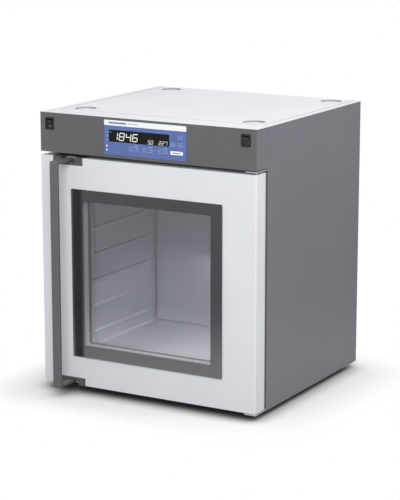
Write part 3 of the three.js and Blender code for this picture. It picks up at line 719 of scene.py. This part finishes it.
def pane(node):
    box = extent(node)
    glass = prism(f"{node.split('_')[0]}_window_pane", "y", [rounded_box(box, 6 * MM)], box.y0, box.y1)
    finished(glass, clear_glass, node, segments=2, body=DOOR)


def window_ring(name, node, radius):
    """A ring round the clear part of the window, as deep as its CAD node."""
    box = extent(node)
    loops = [rounded_box(box, radius), rounded_box(window_clear(), 3 * MM)]
    return prism(name, "y", loops, box.y0, box.y1)


def window_frame():
    """The dark frame, which stands proud of the door."""
    ring = window_ring("window_frame", "window_border", 3 * MM)
    finished(ring, dark_border, "window_border", 0.9 * MM, 4, DOOR)


def window_spacer():
    """The light spacer between the two panes."""
    ring = window_ring("window_spacer", "window_tunnel", 6 * MM)
    finished(ring, white_metal_frame, "window_tunnel", 0.3 * MM, 2, DOOR)


# ---------- cabinet ----------

def top_cover():
    """The inset top sheet with four round recesses, each with a grey band round its wall."""
    box = extent("top_cover")
    sheet = 1.1 * MM
    radius = 32 * MM
    wall = 1.5 * MM
    steps = 96
    bottom = extent("top_frame").z1 - 5 * MM
    front = extent("foot_front_left")
    back = extent("foot_back_left")
    places = {
        "front_1": (front.cx, front.cy), "back_1": (front.cx, back.cy),
        "front_2": (-front.cx, front.cy), "back_2": (-front.cx, back.cy),
    }
    plate = block("top_sheet", box.x0, box.x1, box.y0, box.y1, box.z1 - sheet, box.z1)
    cups = []
    pockets = []
    for x, y in places.values():
        cup = [circle(x, y, radius + wall, steps)]
        cups.append(prism("cup", "z", cup, bottom - wall, box.z1 - 0.2 * MM))
        pockets.append(prism("pocket", "z", [circle(x, y, radius, steps)], bottom, box.z1 + PAST))
    weld(plate, *cups)
    carve(plate, *pockets)
    finished(plate, white_paint, "top_cover", 0.5 * MM)
    for place, (x, y) in places.items():
        loops = [circle(x, y, radius - 0.1 * MM, steps), circle(x, y, radius - 0.7 * MM, steps)]
        band = prism(f"recess_band_{place}", "z", loops, bottom + 0.1 * MM, box.z1 - 0.5 * MM)
        finished(band, pad_grey, edge=0)


def seam_shade_strip():
    """A black strip laid in the seam beside and in front of the top cover: painted shade that darkens
    the seam.
    """
    box = extent("top_cover")
    seam = 1.9 * MM
    low = box.z1 - 0.4 * MM
    outline = [
        (box.x0 - seam, box.y0 - seam), (box.x1 + seam, box.y0 - seam), (box.x1 + seam, box.y1),
        (box.x1, box.y1), (box.x1, box.y0), (box.x0, box.y0), (box.x0, box.y1),
        (box.x0 - seam, box.y1),
    ]
    strip = prism("seam_shade_strip", "z", [outline], low, low + 0.3 * MM)
    # The black rubber finish here is painted shade for the seam's gap.
    finished(strip, foot_rubber, edge=0)


def foot(node):
    """A rubber foot: a round tread, a groove, and a taper up to the base."""
    box = extent(node)
    radius = box.w / 2
    high = box.h
    tread = 4 * MM
    groove = radius - 0.8 * MM
    profile = [
        (0, 0), (radius - tread, 0),
        *[(radius - tread + out, tread + up) for out, up in arc(0, 0, tread, -90, 0, 6)[1:]],
        (radius, 0.42 * high), (groove, 0.45 * high), (groove, 0.52 * high), (radius, 0.55 * high),
        (radius, 0.6 * high), (radius - 2 * MM, 0.72 * high), (radius - 8 * MM, high), (0, high),
    ]
    puck = lathe(f"{node}_rubber", (box.cx, box.cy, box.z0), profile, 72)
    finished(puck, foot_rubber, node, 0)


def screw_mesh():
    """A pan-head screw with a cross recess, its head along +Z."""
    radius = 3.6 * MM
    high = 2.2 * MM
    reach = 2 * MM
    thin = 0.45 * MM
    low = 1.1 * MM
    angles = [math.radians(degrees) for degrees in range(0, 90, 15)]
    dome = [(radius * math.cos(angle), high * math.sin(angle)) for angle in angles]
    head = lathe("screw", (0, 0, 0), [(0, -MM), (radius, -MM), *dome, (0, high)], 32)
    carve(head, block("arm", -reach, reach, -thin, thin, low, 4 * MM),
          block("arm", -thin, thin, -reach, reach, low, 4 * MM))
    data = head.data
    dress(data, screw_steel)
    bpy.data.objects.remove(head)
    return data


def place_screw(name, data, place, degrees):
    """A cabinet screw at a place, its head turned about X from pointing up."""
    screw = put_in_scene(name, data)
    turn = Matrix.Rotation(math.radians(degrees), 4, "X")
    screw.matrix_world = Matrix.Translation(place) @ turn
    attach(screw, CABINET)


def screws():
    """The screws round the rear cover, and the two on the upper hinge bracket."""
    box = extent("rear_cover")
    data = screw_mesh()
    inset = 9 * MM
    behind = box.y1 + 0.1 * MM
    levels = 5
    for side, x in (("left", box.x0 + inset), ("right", box.x1 - inset)):
        for level in range(levels):
            z = box.z0 + inset + level * (box.h - 2 * inset) / (levels - 1)
            place_screw(f"rear_screw_{side}_{level + 1}", data, (x, behind, z), -90)
    for index, x in enumerate((-170 * MM, 0, 170 * MM)):
        for row, z in (("top", box.z1 - inset), ("low", box.z0 + inset)):
            place_screw(f"rear_screw_{row}_{index + 1}", data, (x, behind, z), -90)
    bracket = extent("hinge_bracket_top")
    for index, along in enumerate((6 * MM, 16 * MM)):
        place = (bracket.x0 + along, bracket.y1 - 3.1 * MM, bracket.z1 - 12 * MM)
        place_screw(f"hinge_screw_{index + 1}", data, place, 90)


def louvre(z, width, height):
    return pill(0, z, width, height, height / 2 - 0.05 * MM)


def rear_cover():
    """The back sheet with two rows of louvres, and the holes for the exhaust and the inlet."""
    box = extent("rear_cover")
    pipe = extent("exhaust_pipe")
    inlet = extent("mains_inlet")
    fan = extent("fan_wheel")
    loops = [
        rectangle(box.x0, box.x1, box.z0, box.z1),
        circle(pipe.cx, pipe.cz, PIPE_RADIUS + 0.6 * MM, 72),
        pill(inlet.cx, inlet.cz, 32 * MM, 27 * MM, MM),
    ]
    for row in range(7):
        loops.append(louvre(fan.cz + (row - 3) * 12 * MM, 70 * MM, 5 * MM))
        loops.append(louvre(736 * MM + row * 10 * MM, 160 * MM, 4 * MM))
    sheet = prism("rear_cover_sheet", "y", loops, box.y0, box.y1)
    finished(sheet, grey_paint, "rear_cover", 0.3 * MM, 2)


def exhaust_pipe():
    """The exhaust: a turned tube with a flange on the rear cover and a hole for the damper."""
    box = extent("exhaust_pipe")
    outer = PIPE_RADIUS
    bore = 22 * MM
    flange = outer + 10 * MM
    face = extent("rear_cover").y1 + GAP
    profile = [
        (bore, box.y0), (outer, box.y0), (outer, face), (flange, face), (flange, face + 1.4 * MM),
        (flange - 0.6 * MM, face + 2 * MM), (outer + 1.5 * MM, face + 2 * MM),
        (outer, face + 3.5 * MM), (outer, box.y1 - 1.2 * MM), (outer - 0.8 * MM, box.y1),
        (bore + 0.8 * MM, box.y1), (bore, box.y1 - MM),
    ]
    rows = []
    for radius, along in profile:
        rows.append([(u, along, v) for u, v in circle(box.cx, box.cz, radius, 96)])
    pipe = object_from(ring_mesh(rows), "exhaust_stub")
    damper = extent("vent_damper")
    hole = [circle(damper.cx, damper.cy, 2.5 * MM, 24)]
    carve(pipe, prism("hole", "z", hole, box.z0 - PAST, box.z1 + PAST))
    finished(pipe, stainless, "exhaust_pipe", 0)


# ---------- control head ----------

def head_shell():
    """The folded control head, with a shadow gap below the top sheet. Its front piece takes a darker
    copy of the grey paint: painted shade.
    """
    box = extent("head_shell")
    shadow = 1.3 * MM
    top = extent("left_side_panel").z1 - shadow
    shell, hollow = folded_sheet("control_head_shell", box, 2 * MM, 0.5 * MM, top, top + PAST)
    tools = [hollow]
    hinge = extent("hinge_bracket_top")
    tools.append(block("slot", hinge.x0 - 2 * MM, hinge.x0 + 24 * MM, box.y1 - 8 * MM, box.y1 + PAST,
                       box.z0 - PAST, box.z0 + 3 * MM))
    near = box.y0 - PAST
    far = box.y0 + 3 * MM
    glass = grown(extent("display_window"), 0.6 * MM)
    tools.append(block("hole", glass.x0, glass.x1, near, far, glass.z0, glass.z1))
    for name in KEYS:
        key = extent(name)
        tools.append(prism("hole", "y", [circle(key.cx, key.cz, 2.6 * MM, 24)], near, far))
    half = 13.5 * MM
    tall = 16.5 * MM
    for x in (-SWITCH_X, SWITCH_X):
        tools.append(block("hole", x - half, x + half, near, far, SWITCH_Z - tall, SWITCH_Z + tall))
    notch = 3 * MM
    for x in (box.x0, box.x1 - notch):
        tools.append(block("notch", x - MM, x + notch + MM, box.y1 - notch, box.y1 + PAST,
                           top - notch, top + PAST))
    carve(shell, *tools)
    lip = 0.6 * MM
    weld(shell, block("front", box.x0 + lip, box.x1 - lip, box.y0, box.y0 + SHEET, top - MM, box.z1))
    front = put_in_scene("control_head_shaded_front", shell.data.copy())

    def front_slab():
        return block("slab", box.x0 - MM, box.x1 + MM, box.y0 - MM, box.y0 + 1.2 * MM,
                     box.z0 - MM, box.z1 + MM)

    combine(front, [front_slab()], "INTERSECT")
    carve(shell, front_slab())
    # The front is the same grey paint as the sides; its darker finish is painted shade.
    finished(front, dark_grey_and_shaded_front_paint, "head_shell", 0.15 * MM)
    finished(shell, grey_paint, edge=0.15 * MM)


def switch_bezel(node, radius):
    """The moulded frame of a rocker switch, with its box behind the sheet."""
    box = extent(node)
    wall = 2 * MM
    width = 10 * MM
    height = 13 * MM
    rim = prism(f"{node}_frame", "y", [rounded_box(box, radius)], box.y0, box.y0 + 1.6 * MM)
    weld(rim, block("body", box.x0 + wall, box.x1 - wall, box.y0 + MM, box.y1,
                    box.z0 + wall, box.z1 - wall))
    carve(rim, block("opening", box.cx - width, box.cx + width, box.y0 - PAST, box.y1 - wall,
                     box.cz - height, box.cz + height))
    finished(rim, black_plastic, node, 0.6 * MM, 4)


def rocker(node, maker, ink):
    """A switch rocker with a dished face, tilted to its rest position, and its two marks."""
    box = extent(node)
    tall = 11.5 * MM
    middle = -5.5 * MM
    dish = 2 * MM
    steps = 6
    face = []
    for step in range(-steps, steps + 1):
        share = step / steps
        face.append((middle - dish * abs(share) ** 1.15, tall * share))
    profile = [*face, (3 * MM, 7 * MM), (3 * MM, -7 * MM)]
    cap = prism(f"{node}_cap", "x", [profile], -box.w / 2, box.w / 2)
    tilt = Matrix.Translation((box.cx, ROCKER_AXIS_Y, SWITCH_Z)) @ Matrix.Rotation(ROCKER_TILT, 4, "X")
    cap.data.transform(tilt)
    finished(cap, maker, node, 0.5 * MM, body=node)
    marks = [
        ("on", 1, [pill(0, 0, MM, 4 * MM, 0.4 * MM, 4)]),
        ("off", -1, [circle(0, 0, 2 * MM, 32), circle(0, 0, 1.2 * MM, 32)]),
    ]
    for name, side, loops in marks:
        slope = Matrix.Rotation(side * math.atan2(dish, tall), 4, "X")
        place = tilt @ Matrix.Translation((0, -6.75 * MM, side * 7 * MM)) @ slope
        plates(f"{node}_mark_{name}", 0, [loops], ink, node, place)


def mains_inlet():
    """The appliance inlet: a flange with cut corners and a deep socket."""
    box = extent("mains_inlet")
    back = extent("rear_cover").y1 + GAP
    cut = 4 * MM
    rise = 6 * MM
    outline = [
        (box.x0 + cut, box.z0), (box.x1 - cut, box.z0), (box.x1, box.z0 + rise),
        (box.x1, box.z1 - rise), (box.x1 - cut, box.z1), (box.x0 + cut, box.z1),
        (box.x0, box.z1 - rise), (box.x0, box.z0 + rise),
    ]
    flange = prism("inlet_flange", "y", [outline], back, box.y1)
    wide = 15.5 * MM
    tall = 13 * MM
    weld(flange, block("body", box.cx - wide, box.cx + wide, box.y0, back + MM,
                       box.cz - tall, box.cz + tall))
    u = 12 * MM
    v = 8.5 * MM
    slant = 5 * MM
    socket = [
        (box.cx - u, box.cz - v), (box.cx + u, box.cz - v), (box.cx + u, box.cz + v - cut),
        (box.cx + u - slant, box.cz + v), (box.cx - u + slant, box.cz + v),
        (box.cx - u, box.cz + v - cut),
    ]
    carve(flange, prism("socket", "y", [socket], box.y0 + 4 * MM, box.y1 + PAST))
    finished(flange, black_plastic, "mains_inlet", 0.5 * MM)


def inlet_pins():
    box = extent("mains_inlet")
    places = ((-7 * MM, -2.5 * MM), (7 * MM, -2.5 * MM), (0, 3 * MM))
    for index, (across, up) in enumerate(places):
        x = box.cx + across
        z = box.cz + up
        pin = block(f"inlet_pin_{index + 1}", x - MM, x + MM, box.y0 + 3 * MM, box.y0 + 16 * MM,
                    z - 2 * MM, z + 2 * MM)
        finished(pin, nickel_pin, segments=2)


# ---------- chamber ----------

def eased(share):
    """A share held between 0 and 1, with soft ends."""
    share = max(0.0, min(1.0, share))
    return share * share * (3 - 2 * share)


def ridge_height(z, y, levels, start, end):
    """How far a point of the wall stands out: each shelf ridge is a bead with tapered ends."""
    for level in levels:
        off = abs(z - level) / RIDGE_HALF
        if off < 1:
            taper = eased(min(y - start, end - y) / RIDGE_TAPER + 0.5)
            return RIDGE_HEIGHT * eased(1.6 * (1 - off)) * taper
    return 0.0


def chamber_wall(side, node):
    """A pressed wall of the chamber, with its shelf ridges and a rounded foot and head."""
    box = extent(node)
    shell = extent("chamber_shell")
    floor_z = shell.z0 + LINER
    inner = shell.x1 + GAP
    fillet = 8 * MM
    lift = 0.2 * MM
    levels = [floor_z + RIDGE_FIRST + level * RIDGE_PITCH for level in range(RIDGE_COUNT)]
    start = box.y0 + 33.1 * MM
    end = box.y0 + 386.1 * MM
    low = floor_z + fillet + lift
    high = shell.z1 - LINER - fillet
    count = 260
    foot_arc = arc(inner - fillet, low, fillet, -90, 0)[:-1]
    head_arc = arc(inner - fillet, high - lift, fillet, 0, 90)[1:]
    rows = [(x, z, False) for x, z in foot_arc]
    rows += [(inner, low + (high - low) * index / count, True) for index in range(count + 1)]
    rows += [(x, z, False) for x, z in head_arc]
    step = 2 * MM
    stations = [box.y0]
    stations += [start - RIDGE_TAPER + index * step for index in range(16)]
    stations += [end - 18 * MM + index * step for index in range(16)]
    stations += [box.y1]
    mesh = bmesh.new()
    grid = []
    for x, z, flat in rows:
        outs = [ridge_height(z, y, levels, start, end) if flat else 0.0 for y in stations]
        grid.append([mesh.verts.new((side * (x - out), y, z)) for y, out in zip(stations, outs)])
    for low_line, high_line in zip(grid, grid[1:]):
        for index in range(len(stations) - 1):
            mesh.faces.new([low_line[index], low_line[index + 1],
                            high_line[index + 1], high_line[index]])
    bmesh.ops.recalc_face_normals(mesh, faces=mesh.faces)
    wall = object_from(mesh, f"{node}_pressing")
    thick = wall.modifiers.new("thickness", "SOLIDIFY")
    thick.thickness = MM
    thick.offset = 1 if wall.data.polygons[0].normal.x * side > 0 else -1
    finished(wall, stainless, node, 0)


def air_baffle():
    """The sheet in front of the fan, with its slotted grille, probe holes and four legs."""
    box = extent("air_baffle")
    fan = extent("fan_wheel")
    reach = 52 * MM
    loops = [rounded_box(box, 3 * MM)]
    for column in range(-4, 5):
        x = column * 12 * MM
        length = 2 * math.sqrt(reach * reach - x * x)
        loops.append(pill(x, fan.cz, 6 * MM, length, 2.9 * MM, 6))
    for x, z in PROBE_PLACES:
        loops.append(circle(x, z, 3.8 * MM, 32))
    sheet = prism("air_baffle_sheet", "y", loops, box.y0, box.y0 + LINER)
    wide = 12 * MM
    legs = []
    for x in (box.x0, box.x1 - wide):
        for z in (box.z0 + 18 * MM, box.z1 - 58 * MM):
            legs.append(block("leg", x, x + wide, box.y0, box.y1, z, z + 20 * MM))
    weld(sheet, *legs)
    finished(sheet, stainless, "air_baffle", 0.3 * MM, 2)


# ---------- control panel print ----------

INK = 0.06 * MM


def plates(name, front, groups, maker, body=CABINET, place=None, thickness=INK):
    """Thin plates of ink on a front face, one for each group of an outline and its holes."""
    joined = bmesh.new()
    for group in groups:
        part = prism_mesh("y", group, front - thickness, front + 0.01 * MM)
        data = bpy.data.meshes.new("part")
        part.to_mesh(data)
        part.free()
        joined.from_mesh(data)
        bpy.data.meshes.remove(data)
    if place:
        joined.transform(place)
    finished(object_from(joined, name), maker, edge=0, body=body)


# The bars of each figure that is shown
SEGMENTS = {
    "0": "abcdef", "1": "bc", "2": "abged", "4": "fgbc",
    "5": "afgcd", "6": "afgedc", "7": "abc", "8": "abcdefg",
}


def segment_loop(key, width, height, stroke):
    """One bar of a seven-segment figure, with pointed ends."""
    s = stroke / 2
    gap = stroke * 0.12
    right = width - s
    middle = height / 2
    top = height - s
    ends = {
        "a": (s, top, right, top), "g": (s, middle, right, middle), "d": (s, s, right, s),
        "b": (right, middle, right, top), "c": (right, s, right, middle),
        "f": (s, middle, s, top), "e": (s, s, s, middle),
    }
    u0, v0, u1, v1 = ends[key]
    if key in "agd":
        return [(u0 + gap, v0), (u0 + s, v0 - s), (u1 - s, v0 - s),
                (u1 - gap, v0), (u1 - s, v0 + s), (u0 + s, v0 + s)]
    return [(u0, v0 + gap), (u0 + s, v0 + s), (u0 + s, v1 - s),
            (u0, v1 - gap), (u0 - s, v1 - s), (u0 - s, v0 + s)]


def figures(text, left, right, low, high):
    """The outlines of a slanted seven-segment reading inside a box."""
    height = high - low
    slant = 0.18
    space = 0.18
    advance = {".": 0, "1": 0.62}
    total = sum(advance.get(character, 1) for character in text)
    pitch = (right - left - slant * height) / (total - space)
    width = pitch * 0.8
    stroke = width * 0.135
    groups = []
    place = left
    for character in text:
        if character == ".":
            u = place - pitch * 0.15 - stroke / 2
            lean = slant * stroke
            groups.append([[(u, low), (u + stroke, low),
                            (u + stroke + lean, low + stroke), (u + lean, low + stroke)]])
            continue
        start = place - (0.55 * (width - stroke) if character == "1" else 0)
        for key in SEGMENTS[character]:
            loop = segment_loop(key, width, height, stroke)
            groups.append([[(start + u + slant * v, low + v) for u, v in loop]])
        place += pitch * advance.get(character, 1)
    return groups


def display():
    """The lit figures and the status lamp. The readings' boxes are shares of the display."""
    box = extent("display_window")
    relief = 0.12 * MM
    readings = (
        ("reading_large", "184.6", 0.092, 0.495, 0.13, 0.81),
        ("reading_middle", "50", 0.645, 0.742, 0.05, 0.39),
        ("reading_right", "227", 0.825, 0.974, 0.07, 0.40),
    )
    for name, text, left, right, low, high in readings:
        groups = figures(text, box.x0 + left * box.w, box.x0 + right * box.w,
                         box.z0 + low * box.h, box.z0 + high * box.h)
        plates(name, box.y0, groups, white_digits, thickness=relief)
    lamp = pill(box.x0 + 5.25 * MM, box.z1 - 6.4 * MM, 4.5 * MM, 2 * MM, 0.5 * MM, 4)
    plates("status_lamp", box.y0, [[lamp]], green_light, thickness=relief)


def title_print():
    """The white title strip, with a plain bar in place of each word."""
    box = extent("control_foil")
    height = 15.5 * MM
    edge = 0.2 * MM
    strip = rounded(box.x0 + edge, box.x1 - edge, box.z1 - height, box.z1 - edge, 2 * MM)
    plates("title_strip", box.y0, [[strip]], white_print)
    middle = box.z1 - height / 2
    for name, maker, along, width, tall in (
        ("title_line_blue", blue_print, 44.5 * MM, 59 * MM, 4.2 * MM),
        ("title_line_grey", grey_print, 96 * MM, 36 * MM, 3.2 * MM),
    ):
        line = pill(box.x0 + along, middle, width, tall, 0.6 * MM, 4)
        plates(name, box.y0 - INK, [[line]], maker)


def foil_print():
    """The plain marks on the foil."""
    box = extent("control_foil")
    window = extent("display_window")
    u = box.x0 + 9 * MM
    marks = []
    for up in (14 * MM, 25.5 * MM):
        v = box.z0 + up
        marks.append([[(u - 3.6 * MM, v - 3.2 * MM), (u + 3.6 * MM, v - 3.2 * MM), (u, v + 3.4 * MM)]])
    plates("lower_left_marks", box.y0, marks, white_print)
    marks = []
    for level in (0.78, 0.45, 0.12):
        v = window.z0 + level * window.h
        marks.append([pill(box.x0 + 10.6 * MM, v, 4.4 * MM, 1.2 * MM, 0.3 * MM, 3)])
    plates("display_side_marks", box.y0, marks, white_print)
    middle = (box.x1 - 31.5 * MM, box.z0 + 20.75 * MM)
    bar = [pill(*middle, 41 * MM, 10.5 * MM, 3 * MM), pill(*middle, 27 * MM, 2.3 * MM, 1.1 * MM)]
    plates("plain_white_bar", box.y0, [bar], white_print)
    marks = []
    for name in LOWER_KEYS:
        key = extent(name)
        marks.append([pill(key.cx + 8 * MM, key.z1 + 3.4 * MM, 12 * MM, 1.4 * MM, 0.4 * MM, 3)])
    plates("key_caption_lines", box.y0, marks, grey_print)


def key_print():
    """The outline and the marks on each foil key, which move with the key."""
    inset = 0.5 * MM
    stroke = 0.8 * MM
    size = 1.9 * MM
    for name in KEYS:
        key = extent(name)
        groups = [[rounded_box(grown(key, -inset), 2.4 * MM),
                   rounded_box(grown(key, -inset - stroke), 1.6 * MM)]]
        if name in LOWER_KEYS:
            left = key.cx - 9.5 * MM
            right = key.cx + 9.5 * MM
            low = key.cz - size
            high = key.cz + size
            groups.append([[(left - size, key.cz), (left + size, low), (left + size, high)]])
            groups.append([[(right - size, high), (right + size, high), (right, low)]])
        else:
            groups.append([pill(key.cx, key.cz, 7.2 * MM, 1.6 * MM, 0.5 * MM, 3)])
        plates(f"{name}_print", key.y0, groups, grey_print, name)


# ---------- room ----------

def faded(tree, centre, half, start, end):
    """From 0 to 1 as the distance outside a box goes from start to end."""
    previous = added(tree, "TexCoord").outputs["Object"]
    steps = (("SUBTRACT", centre), ("ABSOLUTE", None), ("SUBTRACT", half), ("MAXIMUM", (0, 0, 0)))
    for operation, operand in steps:
        step = added(tree, "VectorMath", {0: previous}, operation=operation)
        if operand:
            step.inputs[1].default_value = operand
        previous = step.outputs["Vector"]
    distance = added(tree, "VectorMath", {0: previous}, operation="LENGTH").outputs["Value"]
    return mapped(tree, distance, start, end, interpolation_type="SMOOTHSTEP")


def floor_material():
    """A pale floor with a soft contact shade, which fades to the backdrop round the object."""
    material, tree, shader = start_material("pale_floor")
    tone = colour_between(tree, noise(tree, 1.5), (0.75, 0.75, 0.755, 1), (0.77, 0.77, 0.775, 1))
    contact = added(tree, "AmbientOcclusion", {"Color": tone, "Distance": 0.055}, samples=16)
    feed(tree, shader, {
        "Base Color": contact.outputs["Color"], "Roughness": 0.9, "Specular IOR Level": 0.1,
    })
    path = added(tree, "LightPath")
    near = faded(tree, (0.02, -0.04, 0), (HALF_WIDTH, HALF_DEPTH, 1), 0, 0.22)
    far = faded(tree, (0, 0, 0), (0, 0, 1), 0.55, 1.5)
    fade = added(tree, "Mix", {"Factor": path.outputs["Is Camera Ray"], "A": far, "B": near})
    dim = added(tree, "BsdfDiffuse", {"Color": (0.08, 0.08, 0.083, 1)}).outputs["BSDF"]
    bounce = mixed(tree, path.outputs["Is Diffuse Ray"], shader.outputs["BSDF"], dim)
    clear = added(tree, "BsdfTransparent").outputs["BSDF"]
    show(tree, mixed(tree, fade.outputs["Result"], bounce, clear))
    return material


def floor():
    mesh = bmesh.new()
    bmesh.ops.create_circle(mesh, cap_ends=True, radius=4.0, segments=96)
    ground = object_from(mesh, "floor")
    ground.data.materials.append(floor_material())


def world():
    """A white room: brighter above, greyer below the horizon, and plain white as a backdrop."""
    room = bpy.data.worlds.new("studio")
    bpy.context.scene.world = room
    room.use_nodes = True
    tree = room.node_tree
    tree.nodes.clear()
    direction = added(tree, "TexCoord").outputs["Generated"]
    height = mapped(tree, added(tree, "SeparateXYZ", {"Vector": direction}).outputs["Z"], -1, 1)
    tone = colour_between(tree, height, (0.40, 0.40, 0.42, 1), WHITE, 0.38, 0.60)
    glow = added(tree, "Background", {"Color": tone, "Strength": 0.81}).outputs["Background"]
    backdrop = added(tree, "Background", {"Color": WHITE}).outputs["Background"]
    seen = added(tree, "LightPath").outputs["Is Camera Ray"]
    added(tree, "OutputWorld", {"Surface": mixed(tree, seen, glow, backdrop)})


def softbox(name, place, target, size, power):
    """A round soft light, pointed at its target and itself out of sight."""
    data = bpy.data.lights.new(name, "AREA")
    data.shape = "DISK"
    data.size = size
    data.energy = power
    light = put_in_scene(name, data)
    light.location = place
    light.rotation_euler = (Vector(target) - Vector(place)).to_track_quat("-Z", "Y").to_euler()
    light.visible_camera = False


def lights():
    """A large light in front, one for the right side, and a faint one inside the chamber."""
    softbox("key_light", (1.2, -3.3, 2.2), (0, 0, 0.35), 2.8, 90)
    softbox("side_light", (2.3, 0.1, 2.1), (HALF_WIDTH, 0, 0.85), 1.2, 25)
    chamber = extent("chamber_shell")
    place = (0, chamber.y0 + 0.22, chamber.z0 + 0.22)
    softbox("chamber_light", place, (0, chamber.y0 + 0.24, chamber.z0), 0.4, 0.8)


def camera():
    data = bpy.data.cameras.new("camera")
    data.lens = CAMERA_LENS
    view = put_in_scene("camera", data)
    view.location = CAMERA_PLACE
    view.rotation_euler = (math.radians(CAMERA_TILT), 0, math.radians(CAMERA_TURN))
    bpy.context.scene.camera = view
    bpy.context.scene.view_settings.view_transform = "Standard"


# ---------- put it together ----------

camera()
floor()
world()
lights()

door_outer_skin()
door_seal()
door_handle()
pane("outer_pane")
pane("inner_pane")
window_frame()
window_spacer()
top_cover()
seam_shade_strip()
for corner_name in ("front_left", "front_right", "back_left", "back_right"):
    foot(f"foot_{corner_name}")
rear_cover()
screws()
head_shell()
switch_bezel("left_switch_bezel", 1.2 * MM)
switch_bezel("right_switch_bezel", 5 * MM)
rocker("left_rocker", black_plastic, grey_print)
rocker("right_rocker", charcoal_plastic, black_plastic)
mains_inlet()
inlet_pins()
exhaust_pipe()
chamber_wall(-1, "chamber_left_wall")
chamber_wall(1, "chamber_right_wall")
air_baffle()
display()
title_print()
foil_print()
key_print()

corner_join = clean_up_group()
for node_name, node_object in frame["nodes"].items():
    if not node_object.hide_render:
        keep_node(node_name, corner_join)
